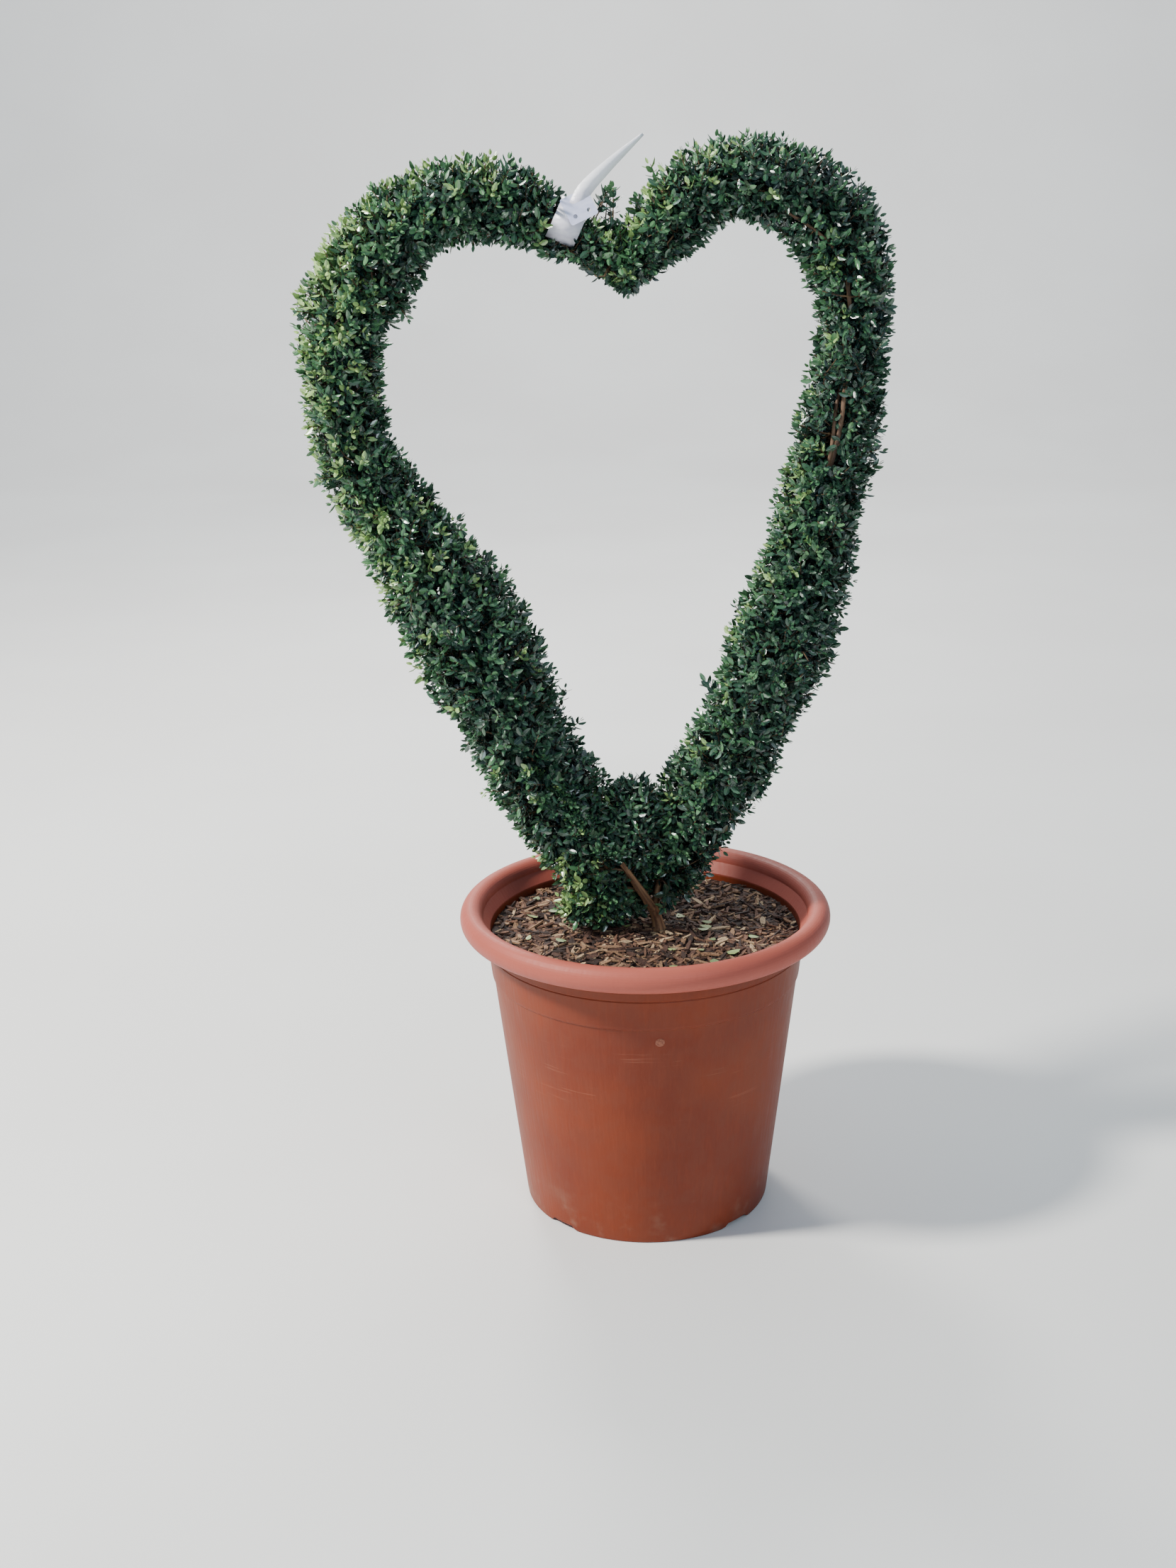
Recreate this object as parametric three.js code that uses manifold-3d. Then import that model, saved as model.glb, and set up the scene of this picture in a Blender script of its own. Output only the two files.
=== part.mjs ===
// A box honeysuckle trained on two stems into an open, upright heart, in its terracotta coloured pot.
// Millimetres, +Z up. The origin is the middle of the pot's flat underside, and the heart faces -Y.
import * as THREE from 'three';
import Module from 'manifold-3d';
import { mergeVertices } from 'three/addons/utils/BufferGeometryUtils.js';

const wasm = await Module();
wasm.setup();
const { Manifold } = wasm;

// Space left between two solids that touch on the real plant
const GAP = 0.3;
// Edges and faces thinner than this are merged into their neighbours
const SLIVER = 0.04;

// Pot
const POT_HEIGHT = 342;
const RIM_RADIUS = 200;
const RIM_HALF_WIDTH = 12.2;
const RIM_HALF_HEIGHT = 13.5;
const SHOULDER_RADIUS = 173;
const FOOT_RADIUS = 134;
const WALL = 4;
const FLOOR = 7;
const FOOT_EDGE = 2;
const BAND_HEIGHT = 263;
const BAND_STEP = 1.6;
const POT_SEGMENTS = 48;
const RIM_STEPS = 9;
const NOTCH_COUNT = 4;
const NOTCH_TOP_WIDTH = 28;
const NOTCH_FOOT_WIDTH = 38;
const NOTCH_HEIGHT = 5;
const NOTCH_DEPTH = 14;

// Filling: potting soil with a layer of wood chips on it
const CHIPS_TOP = 312;
const CHIPS_DEPTH = 14;
const CHIPS_LUMP = 3;
const LUMP_LENGTHS = [107, 57];
const CHIPS_RINGS = 7;
const FLAT_SPOT_RADIUS = 24;
const FILLING_SEGMENTS = 40;

// The plant's own origin lies on the chips, in the plane of the heart
const HEART_PLANE_Y = -9;
const GROUND = CHIPS_TOP + GAP;

// Centre line of each arm from the ground to the dip between the lobes:
// x, y behind the heart's plane, height above the ground, radius of the foliage
const LEFT_ARM = [
  [-24, 16, 22, 42], [-60, 10, 92, 52], [-104, 5, 168, 56], [-132, 2, 226, 57],
  [-166, 0, 304, 65], [-206, 0, 380, 63], [-250, 0, 450, 49], [-283, 0, 508, 42],
  [-299, 0, 600, 44], [-288, 0, 670, 49], [-258, 0, 712, 50], [-214, 0, 753, 46],
  [-162, 0, 765, 43], [-108, 0, 752, 36], [-66, 0, 729, 28], [-32, 0, 711, 31], [-8, 0, 698, 31],
];
const RIGHT_ARM = [
  [14, 14, 36, 38], [34, 9, 96, 44], [72, 4, 164, 50], [106, 1, 226, 50],
  [136, 0, 300, 54], [162, 0, 380, 52], [184, 0, 470, 46], [204, 0, 570, 42],
  [213, 0, 640, 41], [207, 0, 696, 43], [186, 0, 738, 46], [152, 0, 770, 46],
  [108, 0, 782, 43], [70, 0, 776, 41], [34, 0, 750, 38], [8, 0, 720, 34], [-12, 0, 698, 30],
];
const DEPTH_RATIO = 0.9;
const LENGTH_STEPS = 20;

// Trunk and the two trained stems: x, y, height above the ground
const TRUNK_ROUTE = [[14.4, 0, 0], [12.5, -1, 12], [7, -3, 28]];
const TRUNK_STEPS = 5;
const FLARE_RADIUS = 10.5;
const TRUNK_RADIUS = 7;
const FLARE_RIDGES = 3;
const FLARE_RIDGE_RISE = 0.25;
const LEFT_STEM_START = [[9, -2, 22], [-4, -12, 47], [-30, -30, 99], [-52, -33, 133], [-88, -18, 172]];
const RIGHT_STEM_START = [[9, -2, 22], [17, 4, 56], [34, 8, 96]];
const STEM_FOOT_RADIUS = 6.2;
const STEM_TIP_RADIUS = 1.9;
const STEM_TAPER = 0.8;
const STEM_WANDER = 7;
const STEM_SEEDS = { left: 11, right: 12 };
const STEM_JOIN = 25;
const STEM_SIDES = 8;
const STEM_SAMPLES = 90;
const STEM_STEP = 34;
const STEM_PLACES = ['lower', 'shoulder', 'top'];
const STEM_SPLITS = [0, 0.56, 0.75, 0.97];

// Foliage
const CORE_RATIO = 0.78;
const CORE_LUMP = 0.05;
const CORE_LUMP_LENGTHS = [120, 195];
const CORE_SIDES = 10;
const CORE_STEP = 26;
const SPRAY_AREA = 3500;
const TWIG_ROOT_DEPTH = 9;
const TWIG_RISE = 2;
const TWIG_RISE_RANGE = 4;
// Leaf pairs of a shoot: place along the twig, angle from it, size
const LEAF_PAIRS = [[1, 0.75, 0.8], [0.7, 1.15, 1]];
const TWIG_BASE_RADIUS = 2.4;
const TWIG_TIP_RADIUS = 1.6;
const LEAF_LENGTH = 26;
const LEAF_LENGTH_RANGE = [0.85, 1.15];
const LEAF_WIDTH_RATIO = 0.5;
const LEAF_THICKNESS = 1.6;
const LEAF_WIDEST_PLACE = 0.45;
const LEAF_ROOT_SINK = 0.2;
const UPWARD_PULL = 0.35;
const SPRAY_SCATTER = 0.4;
const SPRAY_TURN = 0.5;
const LOWEST_LEAF = 3;
const STEM_CLEARANCE = 3;
const LIMIT_CLEARANCE = 0.5;
const GOLDEN_ANGLE = Math.PI * (3 - Math.sqrt(5));

// Blank loop label round the stem in the narrow place beside the dip
const LABEL_PLACE = [-70, 0, 742];
const LABEL_WAY = [0.906, 0, -0.423];
const LABEL_WIDTH = 29;
const LABEL_THICKNESS = 0.9;
const LABEL_LOOP_RADIUS = 21;
const LABEL_LOOP_SEGMENTS = 20;
const FLAG_HEIGHT = 28;
const FLAG_PLACE = [-58.7, -16.9, 756.8];
const FLAG_ROLL = -0.447;
const FLAG_LEAN = -0.35;
const LABEL_HOLE_RADIUS = 2.1;
const LABEL_TAIL = [[-61, -16.9, 757.5], [-53.6, -14.5, 771.5], [-33.5, -12, 791.5], [3.9, -4, 823]];
const LABEL_TAIL_WIDTH = 16;
const LABEL_TAIL_TIP_WIDTH = 3;
const LABEL_TAIL_NARROWING = 1.5;
const LABEL_TAIL_TWIST = 0.4;
const LABEL_TAIL_STEPS = 7;

const finish = (color, roughness) => new THREE.MeshStandardMaterial({ color, roughness, metalness: 0 });
const TERRACOTTA = finish(0xb9603f, 0.62);
const SOIL = finish(0x3a2a20, 0.95);
const CHIPS = finish(0x75533f, 0.9);
const BARK = finish(0x6b4a35, 0.85);
const LEAF_GREEN = finish(0x35512c, 0.5);
const LABEL_WHITE = finish(0xe9e8ee, 0.4);

// Repeatable random numbers from 0 to 1
function seededRandom(seed) {
  let state = seed;
  return () => {
    state = (state + 0x6d2b79f5) | 0;
    let mixed = Math.imul(state ^ (state >>> 15), 1 | state);
    mixed = (mixed + Math.imul(mixed ^ (mixed >>> 7), 61 | mixed)) ^ mixed;
    return ((mixed ^ (mixed >>> 14)) >>> 0) / 4294967296;
  };
}

function solidFrom(geometry) {
  const bare = geometry.clone();
  bare.deleteAttribute('normal');
  bare.deleteAttribute('uv');
  const merged = mergeVertices(bare);
  const corners = merged.index.array;
  const triangles = [];
  for (let at = 0; at < corners.length; at += 3) {
    const [a, b, c] = corners.subarray(at, at + 3);
    if (a !== b && b !== c && c !== a) triangles.push(a, b, c);
  }
  return new Manifold(new wasm.Mesh({
    numProp: 3,
    vertProperties: Float32Array.from(merged.attributes.position.array),
    triVerts: Uint32Array.from(triangles),
  }));
}

function geometryFrom(solid) {
  const mesh = solid.getMesh();
  const geometry = new THREE.BufferGeometry();
  geometry.setAttribute('position', new THREE.BufferAttribute(mesh.vertProperties, 3));
  geometry.setIndex(new THREE.BufferAttribute(mesh.triVerts, 1));
  geometry.computeVertexNormals();
  return geometry;
}

// Triangles of a mesh in groups that hang together
function shellsOf(corners) {
  const parent = Array.from({ length: Math.max(...corners) + 1 }, (_, i) => i);
  const find = (i) => {
    let at = i;
    while (parent[at] !== at) at = parent[at];
    parent[i] = at;
    return at;
  };
  for (let at = 0; at < corners.length; at += 3) {
    parent[find(corners[at + 1])] = find(corners[at]);
    parent[find(corners[at + 2])] = find(corners[at]);
  }
  const shells = new Map();
  for (let at = 0; at < corners.length; at += 3) {
    const key = find(corners[at]);
    if (!shells.has(key)) shells.set(key, []);
    shells.get(key).push(...corners.subarray(at, at + 3));
  }
  return [...shells.values()];
}

// Positions of a mesh, with points that share a place moved apart, each into its own side
function partedPositions(geometry) {
  const { position, normal } = geometry.attributes;
  const places = new Map();
  const point = new THREE.Vector3();
  const outwards = new THREE.Vector3();
  for (let i = 0; i < position.count; i += 1) {
    const place = point.fromBufferAttribute(position, i).toArray().map((v) => v.toFixed(3)).join();
    if (!places.has(place)) places.set(place, []);
    places.get(place).push(i);
  }
  [...places.values()].filter((shared) => shared.length > 1).flat().forEach((i) => {
    point.fromBufferAttribute(position, i);
    outwards.fromBufferAttribute(normal, i);
    point.addScaledVector(outwards, -SLIVER);
    position.setXYZ(i, point.x, point.y, point.z);
  });
  return position.array;
}

// The biggest shell of a solid, so without slivers, loose scraps and sealed hollows
function mainPiece(solid) {
  const geometry = geometryFrom(solid.simplify(SLIVER));
  const vertProperties = partedPositions(geometry);
  const pieces = shellsOf(geometry.index.array).map((triangles) => (
    new Manifold(new wasm.Mesh({ numProp: 3, vertProperties, triVerts: Uint32Array.from(triangles) }))
  ));
  return pieces.reduce((best, piece) => (piece.volume() > best.volume() ? piece : best));
}

// Closed skin through rings of points that turn right-handed about the way from first to last
function loft(rings) {
  const sides = rings[0].length;
  const index = [];
  for (let ring = 0; ring < rings.length - 1; ring += 1) {
    for (let side = 0; side < sides; side += 1) {
      const next = (side + 1) % sides;
      const low = ring * sides;
      const high = low + sides;
      index.push(low + side, low + next, high + next, low + side, high + next, high + side);
    }
  }
  const last = (rings.length - 1) * sides;
  for (let side = 1; side < sides - 1; side += 1) {
    index.push(0, side + 1, side, last, last + side, last + side + 1);
  }
  const geometry = new THREE.BufferGeometry().setFromPoints(rings.flat());
  geometry.setIndex(index);
  return geometry;
}

// Directions across a line: u in the heart's plane, v towards its back
function crossDirections(tangent) {
  const back = new THREE.Vector3(0, 1, 0);
  const v = back.addScaledVector(tangent, -tangent.y).normalize();
  const u = new THREE.Vector3().crossVectors(v, tangent);
  return { u, v };
}

function aroundPoint(centre, tangent, angle, radiusU, radiusV) {
  const { u, v } = crossDirections(tangent);
  return centre.clone()
    .addScaledVector(u, Math.cos(angle) * radiusU)
    .addScaledVector(v, Math.sin(angle) * radiusV);
}

function ringAt(centre, tangent, sides, radiusOf) {
  return Array.from({ length: sides }, (_, side) => {
    const angle = (2 * Math.PI * side) / sides;
    const radius = radiusOf(angle);
    return aroundPoint(centre, tangent, angle, radius, radius);
  });
}

// Loft whose two end rings are moved out by a length
function lengthened(rings, length) {
  const shift = (ring, next) => {
    const way = ring[0].clone().sub(next[0]).setLength(length);
    ring.forEach((point) => point.add(way));
  };
  if (length > 0) {
    shift(rings[0], rings[1]);
    shift(rings.at(-1), rings.at(-2));
  }
  return loft(rings);
}

const vectors = (points) => points.map(([x, y, z]) => new THREE.Vector3(x, y, z));

// Pot: tapered wall, belt line, rolled rim and a flat underside with notches in its edge

const RIM_FOOT = POT_HEIGHT - 2 * RIM_HALF_HEIGHT;

function wallRadius(height) {
  return FOOT_RADIUS + (SHOULDER_RADIUS - BAND_STEP - FOOT_RADIUS) * (height / RIM_FOOT);
}

function rimPoints() {
  const middleRadius = RIM_RADIUS - RIM_HALF_WIDTH;
  const middleHeight = POT_HEIGHT - RIM_HALF_HEIGHT;
  return Array.from({ length: RIM_STEPS + 1 }, (_, step) => {
    const angle = -Math.PI / 2 + (1.5 * Math.PI * step) / RIM_STEPS;
    return new THREE.Vector2(
      middleRadius + RIM_HALF_WIDTH * Math.cos(angle),
      middleHeight + RIM_HALF_HEIGHT * Math.sin(angle),
    );
  });
}

function footNotch(turn) {
  const shape = new THREE.Shape([
    new THREE.Vector2(-NOTCH_FOOT_WIDTH / 2, -1),
    new THREE.Vector2(NOTCH_FOOT_WIDTH / 2, -1),
    new THREE.Vector2(NOTCH_TOP_WIDTH / 2, NOTCH_HEIGHT),
    new THREE.Vector2(-NOTCH_TOP_WIDTH / 2, NOTCH_HEIGHT),
  ]);
  const notch = new THREE.ExtrudeGeometry(shape, { depth: 2 * NOTCH_DEPTH, bevelEnabled: false });
  notch.rotateX(Math.PI / 2);
  notch.translate(0, FOOT_RADIUS + NOTCH_DEPTH, 0);
  notch.rotateZ(turn);
  return solidFrom(notch);
}

function potGeometry() {
  const profile = [
    new THREE.Vector2(0, 0),
    new THREE.Vector2(FOOT_RADIUS - FOOT_EDGE, 0),
    new THREE.Vector2(FOOT_RADIUS, FOOT_EDGE),
    new THREE.Vector2(wallRadius(BAND_HEIGHT), BAND_HEIGHT),
    new THREE.Vector2(wallRadius(BAND_HEIGHT) + BAND_STEP, BAND_HEIGHT + BAND_STEP),
    new THREE.Vector2(wallRadius(RIM_FOOT) + BAND_STEP, RIM_FOOT),
    ...rimPoints(),
    new THREE.Vector2(wallRadius(RIM_FOOT) - WALL, RIM_FOOT),
    new THREE.Vector2(wallRadius(FLOOR) - WALL, FLOOR),
    new THREE.Vector2(0, FLOOR),
  ];
  const body = new THREE.LatheGeometry(profile, POT_SEGMENTS);
  body.rotateX(Math.PI / 2);
  let pot = solidFrom(body);
  for (let notch = 0; notch < NOTCH_COUNT; notch += 1) {
    pot = pot.subtract(footNotch((2 * Math.PI * (notch + 0.5)) / NOTCH_COUNT));
  }
  return geometryFrom(mainPiece(pot));
}

// Filling: both solids follow the pot's inside wall, one gap clear of it

function insideRadius(height) {
  return (wallRadius(height) - WALL) * Math.cos(Math.PI / POT_SEGMENTS) - 2 * GAP;
}

function circle(radius, height) {
  return Array.from({ length: FILLING_SEGMENTS }, (_, step) => {
    const angle = (2 * Math.PI * step) / FILLING_SEGMENTS;
    return new THREE.Vector3(radius * Math.cos(angle), radius * Math.sin(angle), height);
  });
}

function soilGeometry() {
  const floor = FLOOR + GAP;
  const top = CHIPS_TOP - CHIPS_DEPTH - GAP;
  return loft([circle(insideRadius(floor), floor), circle(insideRadius(top), top)]);
}

function lumpHeight(x, y) {
  const fromTrunk = Math.hypot(x - TRUNK_ROUTE[0][0], y - HEART_PLANE_Y);
  const rise = THREE.MathUtils.smoothstep(fromTrunk, FLAT_SPOT_RADIUS, 2 * FLAT_SPOT_RADIUS);
  const [wide, narrow] = LUMP_LENGTHS.map((length) => (2 * Math.PI) / length);
  const waves = Math.sin(wide * x) * Math.cos(wide * y) + Math.sin(narrow * (x - y));
  return -CHIPS_LUMP * rise * (0.5 - 0.25 * waves);
}

function chipsGeometry() {
  const bottom = CHIPS_TOP - CHIPS_DEPTH;
  const outside = insideRadius(CHIPS_TOP);
  const rings = [circle(insideRadius(bottom), bottom)];
  for (let ring = 0; ring < CHIPS_RINGS; ring += 1) {
    const radius = outside * (1 - ring / CHIPS_RINGS);
    rings.push(circle(radius, CHIPS_TOP));
  }
  rings.slice(1).flat().forEach((point) => {
    point.z += lumpHeight(point.x, point.y);
  });
  return loft(rings);
}

// Trunk and stems

function trunkGeometry(grow) {
  const curve = new THREE.CatmullRomCurve3(vectors(TRUNK_ROUTE));
  const rings = [];
  for (let step = 0; step <= TRUNK_STEPS; step += 1) {
    const part = step / TRUNK_STEPS;
    const flare = (FLARE_RADIUS - TRUNK_RADIUS) * (1 - part) ** 3;
    const tangent = step === 0 ? new THREE.Vector3(0, 0, 1) : curve.getTangent(part);
    rings.push(ringAt(curve.getPoint(part), tangent, STEM_SIDES, (angle) => (
      TRUNK_RADIUS + grow + flare * (1 + FLARE_RIDGE_RISE * Math.cos(FLARE_RIDGES * angle))
    )));
  }
  return lengthened(rings, grow);
}

// A stem's route leaves the trunk, then wanders about its arm's centre line
function stemCurve(start, arm, seed) {
  const random = seededRandom(seed);
  const entry = start.at(-1)[2];
  const inside = arm.filter(([, , height]) => height > entry + STEM_JOIN);
  const wander = () => (random() - 0.5) * 2 * STEM_WANDER;
  const route = inside.map(([x, y, z]) => [x + wander(), y + wander(), z]);
  return new THREE.CatmullRomCurve3(vectors([...start, ...route]));
}

function stemRadius(part) {
  return THREE.MathUtils.lerp(STEM_FOOT_RADIUS, STEM_TIP_RADIUS, part ** STEM_TAPER);
}

function stemRings(curve, { from, to }, grow) {
  const steps = Math.max(2, Math.round(((to - from) * curve.getLength()) / STEM_STEP));
  return Array.from({ length: steps + 1 }, (_, step) => {
    const part = THREE.MathUtils.lerp(from, to, step / steps);
    const radius = stemRadius(part) + grow;
    return ringAt(curve.getPointAt(part), curve.getTangentAt(part), STEM_SIDES, () => radius);
  });
}

// Arm: the foliage's centre line, its radius at any part of the length, and the part at a listed point
function makeArm(points) {
  const curve = new THREE.CatmullRomCurve3(vectors(points));
  const radii = new THREE.SplineCurve(points.map((point, i) => new THREE.Vector2(i, point[3])));
  const lengths = curve.getLengths(LENGTH_STEPS * (points.length - 1));
  const length = lengths.at(-1);
  const radiusAt = (part) => radii.getPoint(curve.getUtoTmapping(part)).y;
  const partAt = (index) => lengths[LENGTH_STEPS * index] / length;
  return { curve, length, radiusAt, partAt, points: points.length };
}

// Foliage masses

function coreLump(angle, along) {
  const [short, long] = CORE_LUMP_LENGTHS.map((length) => (2 * Math.PI * along) / length);
  return 1 + CORE_LUMP * (Math.sin(3 * angle + short) + Math.sin(2 * angle - long));
}

// Tube of dense foliage along part of an arm; its ends lie square to the arm
function coreGeometry(arm, from, to) {
  const steps = Math.max(2, Math.round(((to - from) * arm.length) / CORE_STEP));
  const rings = [];
  for (let step = 0; step <= steps; step += 1) {
    const part = THREE.MathUtils.lerp(from, to, step / steps);
    const centre = arm.curve.getPointAt(part);
    const tangent = arm.curve.getTangentAt(part);
    const radius = CORE_RATIO * arm.radiusAt(part);
    rings.push(Array.from({ length: CORE_SIDES }, (_, side) => {
      const angle = (2 * Math.PI * side) / CORE_SIDES;
      const lump = coreLump(angle, part * arm.length);
      return aroundPoint(centre, tangent, angle, radius * lump, radius * lump * DEPTH_RATIO);
    }));
  }
  return loft(rings);
}

function fillerGeometry({ centre, radii }) {
  const filler = new THREE.IcosahedronGeometry(1, 1);
  filler.scale(...radii);
  filler.translate(...centre);
  return filler;
}

// Twig with three sides
function twigGeometry(root, tip) {
  const way = tip.clone().sub(root).normalize();
  return loft([
    ringAt(root, way, 3, () => TWIG_BASE_RADIUS),
    ringAt(tip, way, 3, () => TWIG_TIP_RADIUS),
  ]);
}

// Points of a leaf of eight faces: root, tip, two edges, upper and lower side
function leafPoints(root, way, across, length) {
  const face = new THREE.Vector3().crossVectors(way, across);
  const middle = root.clone().addScaledVector(way, LEAF_WIDEST_PLACE * length);
  const edge = (LEAF_WIDTH_RATIO * length) / 2;
  return [
    root.clone().addScaledVector(way, -LEAF_ROOT_SINK),
    root.clone().addScaledVector(way, length),
    middle.clone().addScaledVector(across, -edge),
    middle.clone().addScaledVector(across, edge),
    middle.clone().addScaledVector(face, -LEAF_THICKNESS / 2),
    middle.clone().addScaledVector(face, LEAF_THICKNESS / 2),
  ];
}

function leafGeometry(points) {
  const index = [];
  [0, 1].forEach((end) => [2, 3].forEach((edge) => [4, 5].forEach((side) => {
    const mirrored = (end + edge + side) % 2 === 1;
    index.push(...(mirrored ? [end, side, edge] : [end, edge, side]));
  })));
  const geometry = new THREE.BufferGeometry().setFromPoints(points);
  geometry.setIndex(index);
  return geometry;
}

// True where a point keeps to the space of its mass and stays clear of the stems
function keepsToSpace(point, mass) {
  if (point.z < LOWEST_LEAF) return false;
  const outside = mass.limits.some(({ at, way }) => point.clone().sub(at).dot(way) > -LIMIT_CLEARANCE);
  const clear = ({ centre, radius }) => point.distanceTo(centre) > radius + STEM_CLEARANCE;
  return !outside && stemPoints.every(clear);
}

// One shoot: a twig with leaves in crossed pairs, and a closed pair at its tip
function shootParts(root, way, length, mass, random) {
  const tip = root.clone().addScaledVector(way, length);
  if (!keepsToSpace(tip, mass)) return [];
  const parts = [solidFrom(twigGeometry(root, tip))];
  const sideways = new THREE.Vector3(random() - 0.5, random() - 0.5, random() - 0.5);
  const across = sideways.addScaledVector(way, -sideways.dot(way)).normalize();
  const [shortest, longest] = LEAF_LENGTH_RANGE;
  LEAF_PAIRS.forEach(([place, spread, size], pair) => {
    const foot = root.clone().addScaledVector(way, place * length - TWIG_TIP_RADIUS);
    const turned = across.clone().applyAxisAngle(way, (pair * Math.PI) / 2);
    [1, -1].forEach((side) => {
      const leafWay = way.clone().multiplyScalar(Math.cos(spread))
        .addScaledVector(turned, side * Math.sin(spread));
      const leafAcross = new THREE.Vector3().crossVectors(leafWay, turned).normalize();
      const leafLength = LEAF_LENGTH * size * THREE.MathUtils.lerp(shortest, longest, random());
      const points = leafPoints(foot, leafWay, leafAcross, leafLength);
      if (points.slice(1).every((point) => keepsToSpace(point, mass))) {
        parts.push(solidFrom(leafGeometry(points)));
      }
    });
  });
  return parts;
}

// Shoots stand round an arm by the golden angle, so that they are even on all sides
function sprayParts(arm, from, to, mass, random) {
  const middle = (from + to) / 2;
  const area = 2 * Math.PI * arm.radiusAt(middle) * (to - from) * arm.length;
  const count = Math.round(area / SPRAY_AREA);
  const parts = [];
  for (let spray = 0; spray < count; spray += 1) {
    const place = spray + 0.5 + SPRAY_SCATTER * (random() - 0.5);
    const part = THREE.MathUtils.lerp(from, to, place / count);
    const angle = spray * GOLDEN_ANGLE + SPRAY_TURN * random();
    const centre = arm.curve.getPointAt(part);
    const tangent = arm.curve.getTangentAt(part);
    const reach = arm.radiusAt(part);
    const depth = CORE_RATIO * reach - TWIG_ROOT_DEPTH;
    const root = aroundPoint(centre, tangent, angle, depth, depth * DEPTH_RATIO);
    const way = aroundPoint(new THREE.Vector3(), tangent, angle, 1, 1)
      .add(new THREE.Vector3(0, 0, UPWARD_PULL))
      .addScaledVector(tangent, SPRAY_TURN * (random() - 0.5))
      .normalize();
    const length = TWIG_ROOT_DEPTH + TWIG_RISE + TWIG_RISE_RANGE * random();
    parts.push(...shootParts(root, way, length, mass, random));
  }
  return parts;
}

function massGeometry(mass, channels) {
  const random = seededRandom(mass.seed);
  const parts = mass.tubes.map(({ arm, from, to }) => solidFrom(coreGeometry(arm, from, to)));
  parts.push(...mass.fillers.map((filler) => solidFrom(fillerGeometry(filler))));
  mass.tubes.forEach(({ arm, from, to }) => {
    parts.push(...sprayParts(arm, from, to, mass, random));
  });
  const joined = Manifold.union(parts);
  return geometryFrom(mainPiece(Manifold.difference([joined, ...channels])));
}

// Blank loop label: a band round the stem, a flag with two holes and a narrowing free tail

function labelLoopGeometry(grow) {
  const half = LABEL_WIDTH / 2 + grow;
  const inner = LABEL_LOOP_RADIUS - grow;
  const outer = LABEL_LOOP_RADIUS + LABEL_THICKNESS + grow;
  const section = [[inner, -half], [outer, -half], [outer, half], [inner, half], [inner, -half]];
  const profile = section.map(([radius, along]) => new THREE.Vector2(radius, along));
  const band = new THREE.LatheGeometry(profile, LABEL_LOOP_SEGMENTS);
  const lathed = new THREE.Vector3(0, 1, 0);
  const way = new THREE.Vector3(...LABEL_WAY).normalize();
  band.applyQuaternion(new THREE.Quaternion().setFromUnitVectors(lathed, way));
  band.translate(...LABEL_PLACE);
  return band;
}

function labelFlagGeometry(grow) {
  const half = LABEL_WIDTH / 2 + grow;
  const rise = FLAG_HEIGHT / 2 + grow;
  const corners = [[-half, -rise], [half, -rise], [half, rise], [-half, rise]];
  const shape = new THREE.Shape(corners.map(([x, y]) => new THREE.Vector2(x, y)));
  const holes = grow > 0 ? [] : [-LABEL_WIDTH / 4, LABEL_WIDTH / 4];
  holes.forEach((x) => {
    shape.holes.push(new THREE.Path().absarc(x, -FLAG_HEIGHT / 4, LABEL_HOLE_RADIUS, 0, 2 * Math.PI));
  });
  const flag = new THREE.ExtrudeGeometry(shape, {
    depth: LABEL_THICKNESS + 2 * grow,
    curveSegments: 5,
    bevelEnabled: false,
  });
  flag.translate(0, 0, -grow);
  flag.rotateX(Math.PI / 2);
  flag.rotateY(FLAG_ROLL);
  flag.rotateX(FLAG_LEAN);
  flag.translate(...FLAG_PLACE);
  return flag;
}

function labelTailGeometry(grow) {
  const curve = new THREE.CatmullRomCurve3(vectors(LABEL_TAIL));
  const rings = [];
  for (let step = 0; step <= LABEL_TAIL_STEPS; step += 1) {
    const part = step / LABEL_TAIL_STEPS;
    const { u, v } = crossDirections(curve.getTangentAt(part));
    const twist = LABEL_TAIL_TWIST * part;
    const narrowing = (LABEL_TAIL_WIDTH - LABEL_TAIL_TIP_WIDTH) * part ** LABEL_TAIL_NARROWING;
    const half = (LABEL_TAIL_WIDTH - narrowing) / 2 + grow;
    const wide = u.clone().multiplyScalar(Math.cos(twist)).addScaledVector(v, Math.sin(twist));
    const thick = v.clone().multiplyScalar(Math.cos(twist)).addScaledVector(u, -Math.sin(twist));
    rings.push([[1, -1], [1, 1], [-1, 1], [-1, -1]].map(([edge, face]) => (
      curve.getPointAt(part)
        .addScaledVector(wide, edge * half)
        .addScaledVector(thick, face * (LABEL_THICKNESS / 2 + grow))
    )));
  }
  return lengthened(rings, grow);
}

function labelSolid(grow) {
  const parts = [labelLoopGeometry(grow), labelFlagGeometry(grow), labelTailGeometry(grow)];
  return mainPiece(Manifold.union(parts.map(solidFrom)));
}

// The whole plant

const arms = { left: makeArm(LEFT_ARM), right: makeArm(RIGHT_ARM) };
const stems = {
  left: stemCurve(LEFT_STEM_START, LEFT_ARM, STEM_SEEDS.left),
  right: stemCurve(RIGHT_STEM_START, RIGHT_ARM, STEM_SEEDS.right),
};
const stemPoints = Object.values(stems).flatMap((curve) => (
  curve.getSpacedPoints(STEM_SAMPLES).map((centre, i) => (
    { centre, radius: stemRadius(i / STEM_SAMPLES) }
  ))
));
stemPoints.push(...vectors(TRUNK_ROUTE).map((centre) => ({ centre, radius: FLARE_RADIUS })));

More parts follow.
